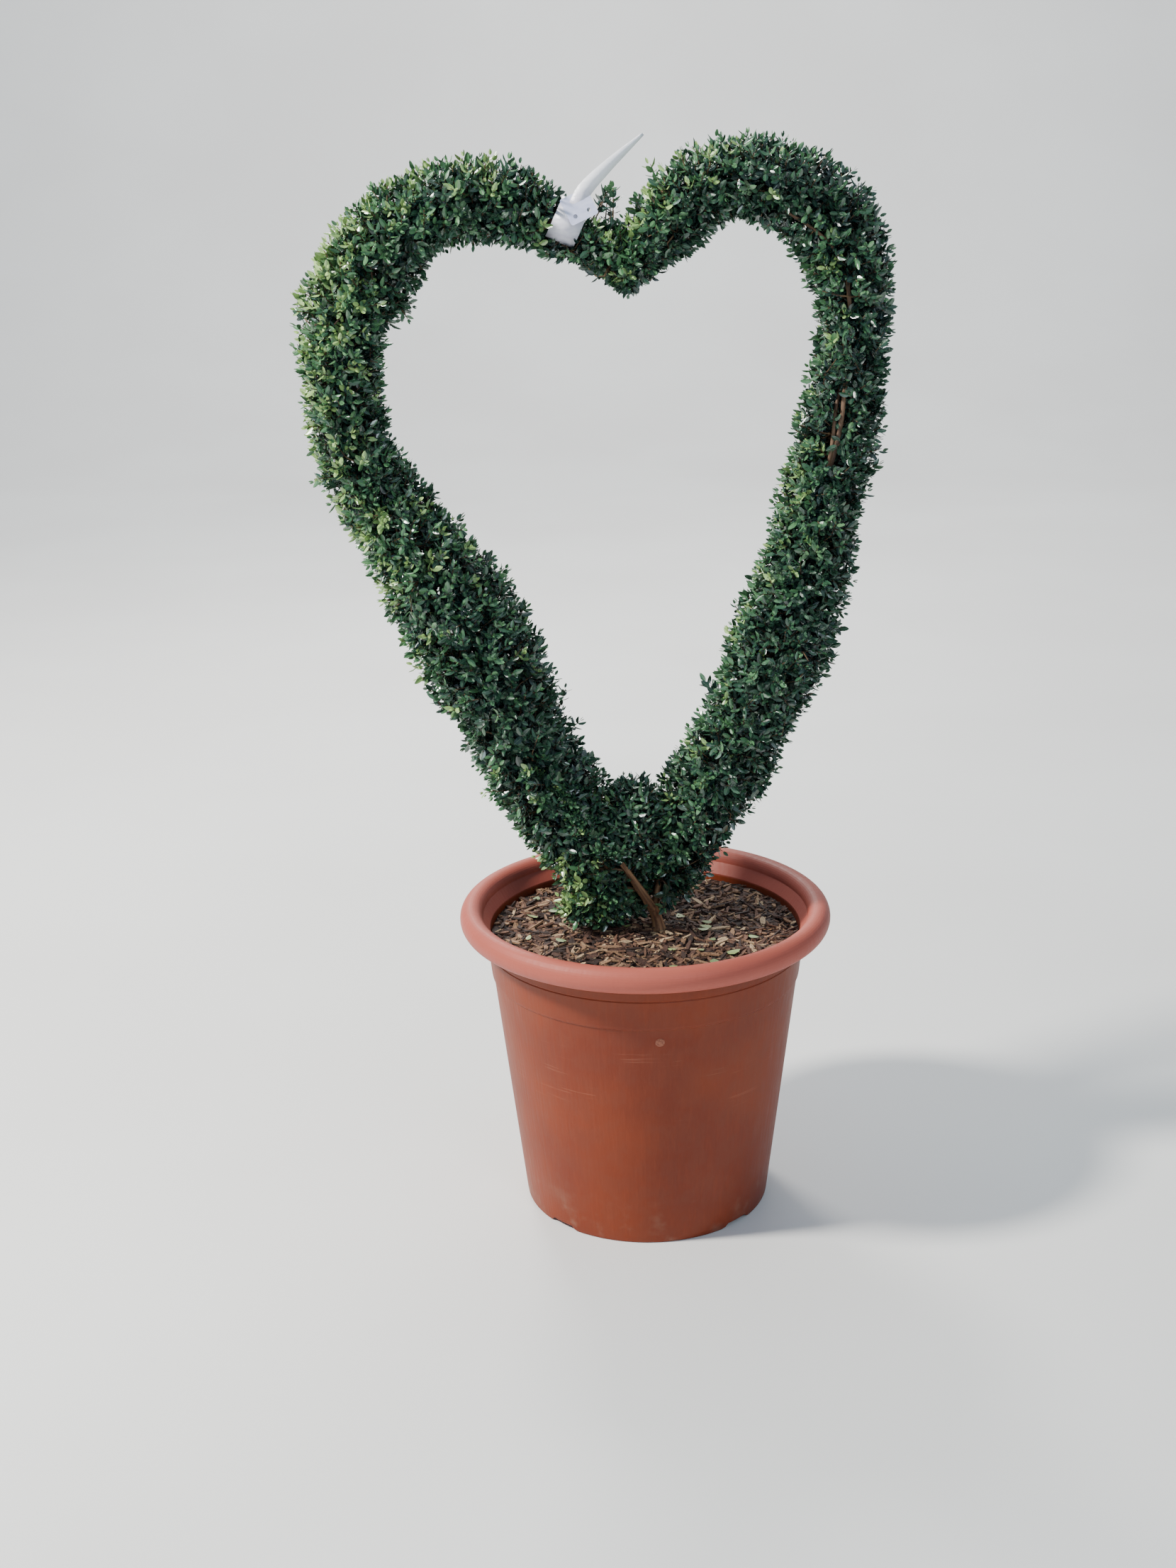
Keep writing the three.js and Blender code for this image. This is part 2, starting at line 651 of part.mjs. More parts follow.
// One mass of foliage: tubes along the arms between listed points, and fillers that join them.
// A tube is limited by the mass that follows it; its arm's own first and last points are free.
function mass(name, seed, tubes, fillers = []) {
  const limits = [];
  const spans = tubes.map(([side, first, last]) => {
    const arm = arms[side];
    const halfGap = GAP / 2 / arm.length;
    const limit = (part, sign) => {
      const way = arm.curve.getTangentAt(part).multiplyScalar(sign);
      limits.push({ at: arm.curve.getPointAt(part), way });
      return part;
    };
    const from = first === 0 ? 0 : limit(arm.partAt(first) + halfGap, -1);
    const to = last === arm.points - 1 ? 1 : limit(arm.partAt(last) - halfGap, 1);
    return { arm, from, to };
  });
  return { name, seed, tubes: spans, fillers, limits };
}

const MASSES = [
  mass('foliage_heart_point', 1000, [['left', 0, 2], ['right', 0, 2]], [
    { centre: [-14, 5, 112], radii: [48, 36, 58] },
    { centre: [-38, 14, 38], radii: [36, 32, 33] },
  ]),
  mass('foliage_left_arm_low', 202, [['left', 2, 4]]),
  mass('foliage_left_arm_high', 2002, [['left', 4, 6]]),
  mass('foliage_left_side', 1003, [['left', 6, 8]]),
  mass('foliage_left_shoulder', 2004, [['left', 8, 11]]),
  mass('foliage_left_lobe', 206, [['left', 11, 13]]),
  mass('foliage_heart_dip', 1006, [['left', 13, 16], ['right', 14, 16]], [
    { centre: [-10, 0, 697], radii: [20, 22, 24] },
    { centre: LABEL_PLACE, radii: [21, 22, 22] },
  ]),
  mass('foliage_right_arm_low', 208, [['right', 2, 4]]),
  mass('foliage_right_arm_high', 3008, [['right', 4, 6]]),
  mass('foliage_right_side', 1009, [['right', 6, 8]]),
  mass('foliage_right_shoulder', 3010, [['right', 8, 11]]),
  mass('foliage_right_lobe', 1011, [['right', 11, 14]]),
];

function addPiece(parent, name, geometry, material) {
  const piece = new THREE.Mesh(geometry, material);
  piece.name = name;
  parent.add(piece);
}

// Stretches of a stem between its bends, a gap apart
function stemStretches(curve) {
  const halfGap = GAP / 2 / curve.getLength();
  return STEM_PLACES.map((place, i) => ({
    place,
    from: STEM_SPLITS[i] + (i > 0 ? halfGap : 0),
    to: STEM_SPLITS[i + 1] - (i + 1 < STEM_PLACES.length ? halfGap : 0),
  }));
}

// Each stem gives way to the trunk, and the right one to the left one
const trunk = solidFrom(trunkGeometry(0));
const taken = [solidFrom(trunkGeometry(GAP))];
const stemPieces = [];
Object.entries(stems).forEach(([side, curve]) => {
  const stretches = stemStretches(curve);
  stretches.forEach(({ place, from, to }) => {
    const whole = solidFrom(loft(stemRings(curve, { from, to }, 0)));
    const stem = mainPiece(Manifold.difference([whole, ...taken]));
    stemPieces.push([`${side}_stem_${place}`, geometryFrom(stem)]);
  });
  taken.push(solidFrom(lengthened(stretches.flatMap((part) => stemRings(curve, part, GAP)), GAP)));
});

const label = labelSolid(0);

const object = new THREE.Group();
addPiece(object, 'pot', potGeometry(), TERRACOTTA);
addPiece(object, 'potting_soil', soilGeometry(), SOIL);
addPiece(object, 'wood_chips', chipsGeometry(), CHIPS);

const plant = new THREE.Group();
plant.position.set(0, HEART_PLANE_Y, GROUND);
addPiece(plant, 'trunk', geometryFrom(trunk), BARK);
stemPieces.forEach(([name, geometry]) => addPiece(plant, name, geometry, BARK));
const channels = [...taken, labelSolid(GAP)];
MASSES.forEach((foliage) => {
  addPiece(plant, foliage.name, massGeometry(foliage, channels), LEAF_GREEN);
});
addPiece(plant, 'loop_label', geometryFrom(label), LABEL_WHITE);
object.add(plant);

export default object;
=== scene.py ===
import math

import bpy
import numpy as np
from mathutils import Matrix, Vector


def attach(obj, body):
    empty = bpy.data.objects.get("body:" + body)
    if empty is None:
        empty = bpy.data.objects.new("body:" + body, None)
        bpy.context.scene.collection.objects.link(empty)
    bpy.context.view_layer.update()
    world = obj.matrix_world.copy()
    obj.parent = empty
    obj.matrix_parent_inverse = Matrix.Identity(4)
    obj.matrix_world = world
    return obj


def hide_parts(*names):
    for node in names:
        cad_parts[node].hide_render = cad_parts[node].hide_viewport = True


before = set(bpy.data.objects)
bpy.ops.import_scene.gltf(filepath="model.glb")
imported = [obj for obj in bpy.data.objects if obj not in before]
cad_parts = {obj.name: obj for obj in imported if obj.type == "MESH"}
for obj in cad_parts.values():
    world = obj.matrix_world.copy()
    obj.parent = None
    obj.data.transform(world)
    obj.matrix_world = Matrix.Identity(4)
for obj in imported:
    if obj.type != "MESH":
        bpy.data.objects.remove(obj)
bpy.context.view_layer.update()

MM = 0.001
GAP = 0.3

# Pot, in millimetres
POT_HEIGHT = 342
RIM_RADIUS = 200
RIM_HALF_WIDTH = 12.2
RIM_HALF_HEIGHT = 13.5
SHOULDER_RADIUS = 173
FOOT_RADIUS = 134
WALL = 4
FLOOR = 7
BAND_HEIGHT = 263
BAND_STEP = 1.6
SEAM_HEIGHT = 297
RIM_STEPS = 26
POT_SEGMENTS = 192
NOTCH_COUNT = 4
NOTCH_HEIGHT = 5
NOTCH_SLOPE = 5
NOTCH_FOOT_WIDTH = 38
NOTCH_DEPTH = 16
# The mark's middle on the pot, and its rings: distance from the middle, rise above the wall
GATE_HEIGHT = 249
GATE_ANGLE = math.radians(-86.5)
GATE_RINGS = [(0, 0.9), (1.3, 1.0), (2.2, 0.4), (3, 0.8), (4.2, 0.7), (5.6, -0.8)]
GATE_SIDES = 24
RIM_FOOT = POT_HEIGHT - 2 * RIM_HALF_HEIGHT
CHIPS_TOP = 312
CHIPS_DEPTH = 14
CHIPS_LUMP = 3

# The plant's own origin lies on the chips, in the plane of the heart
PLANT_ORIGIN = np.array([0, -9, CHIPS_TOP + GAP])

# Centre line of each arm: x, y behind the heart's plane, height above the ground, foliage radius
LEFT_ARM = [
    [-24, 16, 22, 42], [-60, 10, 92, 52], [-104, 5, 168, 56], [-132, 2, 226, 57],
    [-166, 0, 304, 65], [-206, 0, 380, 63], [-250, 0, 450, 49], [-283, 0, 508, 42],
    [-299, 0, 600, 44], [-288, 0, 670, 49], [-258, 0, 712, 50], [-214, 0, 753, 46],
    [-162, 0, 765, 43], [-108, 0, 752, 36], [-66, 0, 729, 28], [-32, 0, 711, 31], [-8, 0, 698, 31],
]
RIGHT_ARM = [
    [14, 14, 36, 38], [34, 9, 96, 44], [72, 4, 164, 50], [106, 1, 226, 50],
    [136, 0, 300, 54], [162, 0, 380, 52], [184, 0, 470, 46], [204, 0, 570, 42],
    [213, 0, 640, 41], [207, 0, 696, 43], [186, 0, 738, 46], [152, 0, 770, 46],
    [108, 0, 782, 43], [70, 0, 776, 41], [34, 0, 750, 38], [8, 0, 720, 34], [-12, 0, 698, 30],
]
# Foliage that joins the arms at the heart's point and at its dip: centre, radii
POINT_FILLERS = [([-14, 5, 112], [52, 40, 62]), ([-38, 14, 38], [44, 38, 40])]
SKIRT_FILLERS = [([-66, 2, 28], [30, 24, 20])]
DIP_FILLERS = [([-10, 0, 697], [24, 26, 28])]
# The foliage's underside round the dip is clipped to a point: x, lowest height of a shoot's tip
DIP_EDGE = [[-98, 713], [-72, 711], [-40, 697], [-12, 671], [0, 686], [12, 696], [30, 701], [45, 711]]
DIP_LOWEST = 640
DEPTH_RATIO = 0.9
CORE_LUMP = 0.05
CORE_LUMP_LENGTHS = (120, 195)
GOLDEN_ANGLE = math.pi * (3 - math.sqrt(5))

TRUNK_ROUTE = [[14.4, 0, 0], [12.5, -1, 12], [7, -3, 28]]
TRUNK_RADIUS = 7
FLARE_RADIUS = 10.5
LEFT_STEM_START = [[9, -2, 22], [-4, -12, 47], [-29, -24, 89], [-58, -23, 116], [-90, -12, 168]]
RIGHT_STEM_START = [[9, -2, 22], [17, 4, 56], [34, 8, 96]]
STEM_FOOT_RADIUS = 6.2
STEM_TIP_RADIUS = 1.9
STEM_TAPER = 0.8
STEM_WANDER = 7
STEM_JOIN = 25
STEM_END = 0.97
STEM_SEEDS = (11, 12)
# The stems that show are slimmer than the solids, and flare at the foot
TRUNK_SLIMMING = 0.8
STEM_SLIMMING = 0.44
STEM_FLARES = (0.42, 0.16)
STEM_FLARE_SHARE = 0.045
COMPANION_STARTS = (0.05, 0.08)
COMPANION_TURNS = (0.4, 2.1)
COMPANION_PITCH = 96
COMPANION_LEAVING = 0.04
COMPANION_GAP = 1.5

# Thin stems that run near the front of the right arm: points, radius
FRONT_STEMS = [
    ([[206, -4, 705], [202, -20, 680], [204, -20, 662], [206, -8, 640], [204, -16, 600], [200, -25, 572],
      [197, -26, 544], [191, -25, 515], [184, -14, 485], [176, -4, 455]], 2.3),
    ([[200, -8, 590], [193, -18, 560], [190, -25, 535], [187, -25, 512], [180, -12, 480]], 1.9),
    ([[128, -10, 768], [141, -24, 750], [160, -27, 738], [180, -26, 722], [198, -14, 700]], 1.5),
]
# Where the bare stems show through the front of the foliage: x, z, half width, half height
BARE_PLACES = [
    (6, 26, 10, 20), (-17, 64, 5, 12), (-52, 104, 9, 9), (198, 552, 7, 20), (192, 516, 7, 20),
    (203, 662, 7, 15), (150, 736, 10, 6), (174, 716, 9, 8), (-262, 690, 7, 11), (-168, 330, 8, 12),
]
# The way in which the bare places open
OPEN_WAY = np.array([0, -0.95, 0.31])

SHOOT_LENGTH = 30
SHOOT_SPACING = 10.8
INNER_SPACING = 17
BOUGH_SPACING = 8.5
BOUGH_POINTS = 6
# A bough ends at this share of the foliage's radius, this far up the stem from where it leaves
BOUGH_REACH = 0.56
BOUGH_RUN = 14
BOUGH_RADII = (1.6, 0.9)
TWIG_RADII = (1.1, 0.95, 0.8, 0.45)
LEAF_LENGTH = 11.2
LEAF_WIDTH_RATIO = 0.46
UPWARD_PULL = 0.35
# Shoots of each arm that stand out, and how far the last of them does
STRAY_SHOOTS = 70
STRAY_REACH = 13
# Short shoots above the left stem's bare foot, and thin ones beside the label
COVERING_SHOOTS = 120
LABEL_SHOOTS = 7
# How far the tips of shoots may reach to each side
WIDEST_TIPS = (-341, 247)
# How far up each stem its foot stays bare
BARE_FEET = (0.066, 0.03)
# Shoots keep clear of the chips, the bare ground right of the trunk, the bare stems and the label
LOWEST_TIP = 9
LOWEST_MIDDLE = 5
BARE_GROUND_EDGE = 20
BARE_GROUND_TOP = 34
BARE_SHARE = 0.93
STEM_CLEARANCE = 7
BAND_CLEARANCE = 3
FLAG_CLEARANCE = 20
TAIL_CLEARANCE = 15
# Low foliage is in shade, but the sun reaches the skirt at the foot
SHADE_TOP = 430
SHADE_DEPTH = 160
SUNNY_SKIRT_EDGE = -45
SUNNY_SKIRT_TOP = 95
KIND_LIMITS = [0.12, 0.9]
SPRAY_SHAPES = 7
LEAF_PAIRS = 5
SUN = np.array([-0.76, -0.12, 0.64])

LABEL_PLACE = [-70, 0, 742]
LABEL_WAY = [0.906, 0, -0.423]
LABEL_WIDTH = 29
LABEL_HALF_FILM = 0.25
LABEL_LOOP_RADIUS = 21
FLAG_HEIGHT = 28
FLAG_PLACE = [-58.7, -16.9, 756.8]
FLAG_ROLL = -0.447
FLAG_LEAN = -0.35
FLAG_CORNER = 2.2
LABEL_HOLE_RADIUS = 2.1
LABEL_TAIL = [[-61, -16.9, 757.5], [-53.6, -14.5, 771.5], [-33.5, -12, 791.5], [3.9, -4, 823]]
LABEL_TAIL_WIDTH = 16
LABEL_TAIL_TIP_WIDTH = 3
LABEL_TAIL_NARROWING = 1.5
LABEL_TAIL_TWIST = 0.4


# Colours and materials

def paint(code):
    """Linear colour of an sRGB colour written as six hexadecimal digits."""
    parts = [int(code[i:i + 2], 16) / 255 for i in (0, 2, 4)]
    return [p / 12.92 if p <= 0.04045 else ((p + 0.055) / 1.055) ** 2.4 for p in parts] + [1]


class Tree:
    """A tree of nodes, to which nodes are added with their settings and the values of their sockets."""

    def __init__(self, tree):
        self.tree = tree

    def put(self, socket, value):
        if isinstance(value, Amount):
            value = value.socket
        if isinstance(value, bpy.types.NodeSocket):
            self.tree.links.new(value, socket)
        else:
            socket.default_value = value

    def node(self, kind, settings=None, values=None):
        made = self.tree.nodes.new(kind)
        for name, value in (settings or {}).items():
            setattr(made, name, value)
        for socket, value in (values or {}).items():
            self.put(made.inputs[socket], value)
        return made

    def amount(self, kind, settings=None, values=None, output=0):
        return Amount(self, self.node(kind, settings, values).outputs[output])

    def vector(self, operation, first, second):
        """A vector changed by another, or by a number where the operation is SCALE."""
        other = "Scale" if operation == "SCALE" else 1
        made = self.node("ShaderNodeVectorMath", {"operation": operation}, {0: first, other: second})
        return made.outputs[0]

    def combined(self, x=0.0, y=0.0, z=0.0):
        return self.node("ShaderNodeCombineXYZ", None, {0: x, 1: y, 2: z}).outputs[0]

    def part(self, place, axis):
        return self.amount("ShaderNodeSeparateXYZ", None, {0: place}, axis)

    def clouds(self, place, detail):
        """Noise from about 0.3 to 0.7."""
        return self.amount("ShaderNodeTexNoise", None, {"Vector": place, "Scale": 1.0, "Detail": detail})


class Amount:
    """A number in a tree of nodes that can be reckoned with."""

    def __init__(self, tree, socket):
        self.tree = tree
        self.socket = socket

    def join(self, operation, first, second):
        return self.tree.amount("ShaderNodeMath", {"operation": operation}, {0: first, 1: second})

    def of(self, operation, other=0.0):
        return self.join(operation, self, other)

    def __add__(self, other):
        return self.join("ADD", self, other)

    def __sub__(self, other):
        return self.join("SUBTRACT", self, other)

    def __rsub__(self, other):
        return self.join("SUBTRACT", other, self)

    def __mul__(self, other):
        return self.join("MULTIPLY", self, other)

    def __truediv__(self, other):
        return self.join("DIVIDE", self, other)

    def __rtruediv__(self, other):
        return self.join("DIVIDE", other, self)

    def __pow__(self, other):
        return self.join("POWER", self, other)

    __radd__ = __add__
    __rmul__ = __mul__

    def size(self):
        return self.of("ABSOLUTE")

    def between(self, low, high):
        """0 below low, 1 above high and smooth between them."""
        settings = {"interpolation_type": "SMOOTHSTEP"}
        return self.tree.amount("ShaderNodeMapRange", settings, {0: self, 1: low, 2: high})


class Finish(Tree):
    """A material."""

    def __init__(self, name, **even):
        self.material = bpy.data.materials.new(name)
        self.material.use_nodes = True
        super().__init__(self.material.node_tree)
        self.shader = self.tree.nodes["Principled BSDF"]
        self.place = self.node("ShaderNodeTexCoord").outputs["Object"]
        for name, value in even.items():
            self.give(name.replace("_", " ").title().replace("Ior", "IOR"), value)

    def give(self, name, value):
        self.put(self.shader.inputs[name], value)

    def noise(self, size, detail=2.0, stretch=(1, 1, 1), place=None):
        """Clouds with lumps of a size in metres."""
        scaled = self.vector("MULTIPLY", place or self.place, [s / size for s in stretch])
        return self.clouds(scaled, detail)

    def axis(self, name, place=None):
        return self.part(place or self.place, name)

    def own(self, name):
        """A value kept with the piece's own points."""
        return self.amount("ShaderNodeAttribute", {"attribute_name": name}, None, "Fac")

    def blend(self, share, first, second):
        """From the first colour to the second, either of which may be a colour's six digits."""
        first, second = (paint(c) if isinstance(c, str) else c for c in (first, second))
        return self.node("ShaderNodeMix", {"data_type": "RGBA"}, {0: share, 6: first, 7: second}).outputs[2]

    def relief(self, height, depth):
        bump = self.node("ShaderNodeBump", None, {"Height": height, "Distance": depth, "Strength": 1.0})
        self.give("Normal", bump.outputs[0])


def terracotta_finish():
    finish = Finish("terracotta_plastic", specular_ior_level=0.28)
    height = finish.axis("Z")
    brushing = finish.noise(0.004, 4, (1, 1, 0.05))
    cloud = finish.noise(0.12, 2)
    # The body's dark colour is painted shade.
    body = finish.blend(cloud.between(0.35, 0.68), "7e3316", "722c15")
    body = finish.blend(brushing.between(0.45, 0.75) * 0.14, body, "97472d")
    # The rim's lighter, pinker colour is painted skylight on its upturned face.
    skylit_rim = finish.blend(cloud.between(0.3, 0.7), "ae594a", "a35144")
    colour = finish.blend(height.between(0.314, 0.318), body, skylit_rim)
    rubbed = height.between(0.14, 0.19) * height.between(0.26, 0.22)
    scratches = finish.noise(0.02, 5, (0.3, 0.3, 9)).between(0.6, 0.7)
    scuffs = scratches * finish.noise(0.07, 1).between(0.5, 0.6) * rubbed
    colour = finish.blend(scuffs * 0.15, colour, "d59a80")
    dust = finish.noise(0.03, 5).between(0.5, 0.75) * height.between(0.07, 0.0)
    colour = finish.blend(dust * 0.35, colour, "9c8470")
    inside = height.between(0.318, 0.312) * finish.noise(0.02, 3).between(0.4, 0.6)
    finish.give("Base Color", finish.blend(inside * 0.12, colour, "6f4030"))
    finish.give("Roughness", brushing * 0.25 + scuffs * 0.15 + 0.4)
    finish.relief(brushing, 0.0002)
    return finish.material


def gate_finish():
    finish = Finish("gate_mark", roughness=0.6)
    spots = finish.noise(0.002, 3)
    finish.give("Base Color", finish.blend(spots.between(0.4, 0.6), "98573c", "7d3f29"))
    return finish.material


def soil_finish():
    finish = Finish("potting_soil", roughness=0.95)
    crumbs = finish.noise(0.006, 5)
    finish.give("Base Color", finish.blend(crumbs.between(0.35, 0.65), "1d1410", "453328"))
    finish.relief(crumbs, 0.003)
    return finish.material


def chips_finish():
    finish = Finish("wood_chips")
    tone = finish.own("tone")
    grain = finish.noise(0.0016, 4)
    colour = finish.blend(tone.between(0.18, 0.3), "2c1d18", "4c3227")
    colour = finish.blend(tone.between(0.4, 0.55), colour, "6b4a38")
    colour = finish.blend(tone.between(0.66, 0.78), colour, "8d6b4f")
    colour = finish.blend(tone.between(0.88, 0.95), colour, "bda17e")
    finish.give("Base Color", finish.blend(grain.between(0.4, 0.7) * 0.5, colour, "2c1c15"))
    finish.give("Roughness", grain * 0.3 + 0.65)
    finish.relief(grain, 0.0008)
    return finish.material


def bark_finish():
    finish = Finish("bark")
    along = finish.node("ShaderNodeUVMap", {"uv_map": "UVMap"}).outputs[0]
    strips = finish.noise(1, 5, (6, 0.06, 1), along)
    flakes = finish.noise(0.004, 4)
    colour = finish.blend(strips.between(0.38, 0.62), "5c3f2a", "a37c56")
    colour = finish.blend(flakes.between(0.5, 0.7) * 0.5, colour, "8a6a4e")
    # Up in the heart the stems are painted darker and greyer than at the foot, as painted shade inside the
    # foliage
    high = finish.axis("Z").between(0.36, 0.5)
    finish.give("Base Color", finish.blend(high * 0.62, colour, "43342c"))
    finish.give("Roughness", flakes * 0.25 + 0.62)
    finish.relief(strips * 0.6 + flakes * 0.4, 0.0012)
    return finish.material


def twig_finish():
    finish = Finish("twigs", roughness=0.7)
    patches = finish.noise(0.012, 3)
    finish.give("Base Color", finish.blend(patches.between(0.4, 0.6), "4a3424", "6a5236"))
    return finish.material


def leaf_finish(name, old, young, gloss):
    """A leaf's colour goes from old to young with its age, and from leaf to leaf with its spray's tone."""
    finish = Finish(name, specular_ior_level=1.0)
    across = finish.axis("X", finish.node("ShaderNodeUVMap", {"uv_map": "UVMap"}).outputs[0])
    tone = finish.own("tone")
    age = finish.own("age")
    patches = finish.noise(0.02, 2)
    share = age.between(0.35, 1.0) * 0.85 + patches.between(0.35, 0.65) * 0.15
    colour = finish.blend(share, old, young)
    shade = finish.blend(tone, "16302c", "93b27c")
    colour = finish.blend(((tone - 0.5).size() * 0.5) ** 1.3, colour, shade)
    rib = 1 - (across - 0.5).size().between(0.0, 0.07)
    finish.give("Base Color", finish.blend(rib * 0.25, colour, "a0b996"))
    finish.give("Roughness", patches * 0.2 + gloss)
    finish.relief(rib, 0.0002)
    return finish.material


def label_finish(name, light, dark):
    finish = Finish(name, roughness=0.34)
    # The film's darker colour follows the crease noise as painted shade.
    crease_relief_and_shade = finish.noise(0.01, 3, (1, 1, 2))
    colour = finish.blend(crease_relief_and_shade.between(0.35, 0.65), light, dark)
    # The tail stands up above the foliage, and the film above about 1.08 m is painted whitest as painted
    # sunlight
    sunlit_tail = finish.axis("Z").between(1.075, 1.095)
    finish.give("Base Color", finish.blend(sunlit_tail, colour, "f6f5f9"))
    finish.relief(crease_relief_and_shade, 0.0006)
    return finish.material


def floor_finish():
    finish = Finish("floor", roughness=0.8)
    cloud = finish.noise(0.8, 3)
    finish.give("Base Color", finish.blend(cloud.between(0.3, 0.7), "ecebe8", "e6e4e1"))
    return finish.material


# Geometry

def metres(points):
    """Row frame, in metres, from the plant's own millimetres."""
    return (np.asarray(points, float) + PLANT_ORIGIN) * MM


def units(vectors):
    return vectors / np.linalg.norm(vectors, axis=-1, keepdims=True)


def shown(name, mesh, material=None, smooth=True):
    piece = bpy.data.objects.new(name, mesh)
    bpy.context.scene.collection.objects.link(piece)
    if material:
        mesh.materials.clear()
        mesh.materials.append(material)
    mesh.polygons.foreach_set("use_smooth", [smooth] * len(mesh.polygons))
    return piece


def ring_faces(rows, sides, flipped=False):
    """Faces with four sides between rows of points, where each row goes round."""
    faces = []
    for row in range(rows):
        for side in range(sides):
            a, b = row * sides + side, row * sides + (side + 1) % sides
            faces.append((a, a + sides, b + sides, b) if flipped else (a, b, b + sides, a + sides))
    return faces


def mesh_of(name, points, faces, uv=None, own=None):
    """A mesh with its own flat coordinates for each corner and its own values for each point."""
    mesh = bpy.data.meshes.new(name)
    mesh.from_pydata([tuple(p) for p in points], [], [tuple(int(i) for i in f) for f in faces])
    if uv is not None:
        corners = np.empty(len(mesh.loops), int)
        mesh.loops.foreach_get("vertex_index", corners)
        layer = mesh.uv_layers.new(name="UVMap")
        layer.data.foreach_set("uv", np.asarray(uv, np.float32)[corners].ravel())
    for label, values in (own or {}).items():
        values = np.asarray(values)
        kind = {1: "FLOAT", 2: "FLOAT_VECTOR"}[values.ndim] if values.dtype.kind == "f" else "INT"
        layer = mesh.attributes.new(label, kind, "POINT")
        layer.data.foreach_set("vector" if kind == "FLOAT_VECTOR" else "value", values.ravel())
    mesh.validate()
    return mesh


class Route:
    """A smooth curve through points, read by the share of its length."""

    def __init__(self, points, steps=40):
        points = np.asarray(points, float)
        ends = np.vstack([2 * points[0] - points[1], points, 2 * points[-1] - points[-2]])
        part = np.linspace(0, 1, steps, endpoint=False)[:, None]
        rows = []
        for i in range(len(points) - 1):
            a, b, c, d = ends[i:i + 4]
            first, middle, last = (np.linalg.norm(q - p) ** 0.5 for p, q in ((a, b), (b, c), (c, d)))
            into = ((b - a) / first - (c - a) / (first + middle) + (c - b) / middle) * middle
            out = ((c - b) / middle - (d - b) / (middle + last) + (d - c) / last) * middle
            bend = -3 * b + 3 * c - 2 * into - out
            rows.append(b + into * part + bend * part ** 2 + (2 * b - 2 * c + into + out) * part ** 3)
        self.rows = np.vstack([*rows, points[-1:]])
        self.marks = np.arange(len(self.rows)) / steps
        step = np.linalg.norm(np.diff(self.rows, axis=0), axis=1)
        self.length = step.sum()
        self.shares = np.append(0, np.cumsum(step)) / self.length

    def at(self, share):
        return np.stack([np.interp(share, self.shares, self.rows[:, k]) for k in range(3)], -1)

    def way(self, share):
        near = 0.5 / self.length
        share = np.asarray(share)
        return units(self.at(np.minimum(share + near, 1)) - self.at(np.maximum(share - near, 0)))

    def mark(self, share):
        return np.interp(share, self.shares, self.marks)


def across(way):
    """Directions across a line: one in the heart's plane, one towards its back."""
    back = np.array([0.0, 1.0, 0.0])
    v = units(back - way * way[..., 1:2])
    return np.cross(v, way), v


def tubes(paths, radii, sides):
    """Points, faces and flat coordinates of many tubes along paths of equal numbers of points."""
    count, steps, _ = paths.shape
    ways = units(np.gradient(paths, axis=1))
    u = units(np.cross(ways, np.array([0.31, 0.83, -0.46])))
    v = np.cross(ways, u)
    angle = 2 * np.pi * np.arange(sides) / sides
    ring = u[:, :, None] * np.cos(angle)[:, None] + v[:, :, None] * np.sin(angle)[:, None]
    points = paths[:, :, None] + ring * radii[:, :, None, None]
    step = np.arange(steps - 1)[:, None] * sides
    side = np.arange(sides)
    after = (side + 1) % sides
    quads = np.stack([step + side, step + after, step + sides + after, step + sides + side], -1)
    faces = (quads.reshape(1, -1, 4) + (np.arange(count) * steps * sides)[:, None, None]).reshape(-1, 4)
    along = np.cumsum(np.linalg.norm(np.diff(paths, axis=1, prepend=paths[:, :1]), axis=2), axis=1)
    uv = np.stack(np.broadcast_arrays(side / sides, along[:, :, None] * 0.2), -1)
    return points.reshape(-1, 3), faces, uv.reshape(-1, 2)


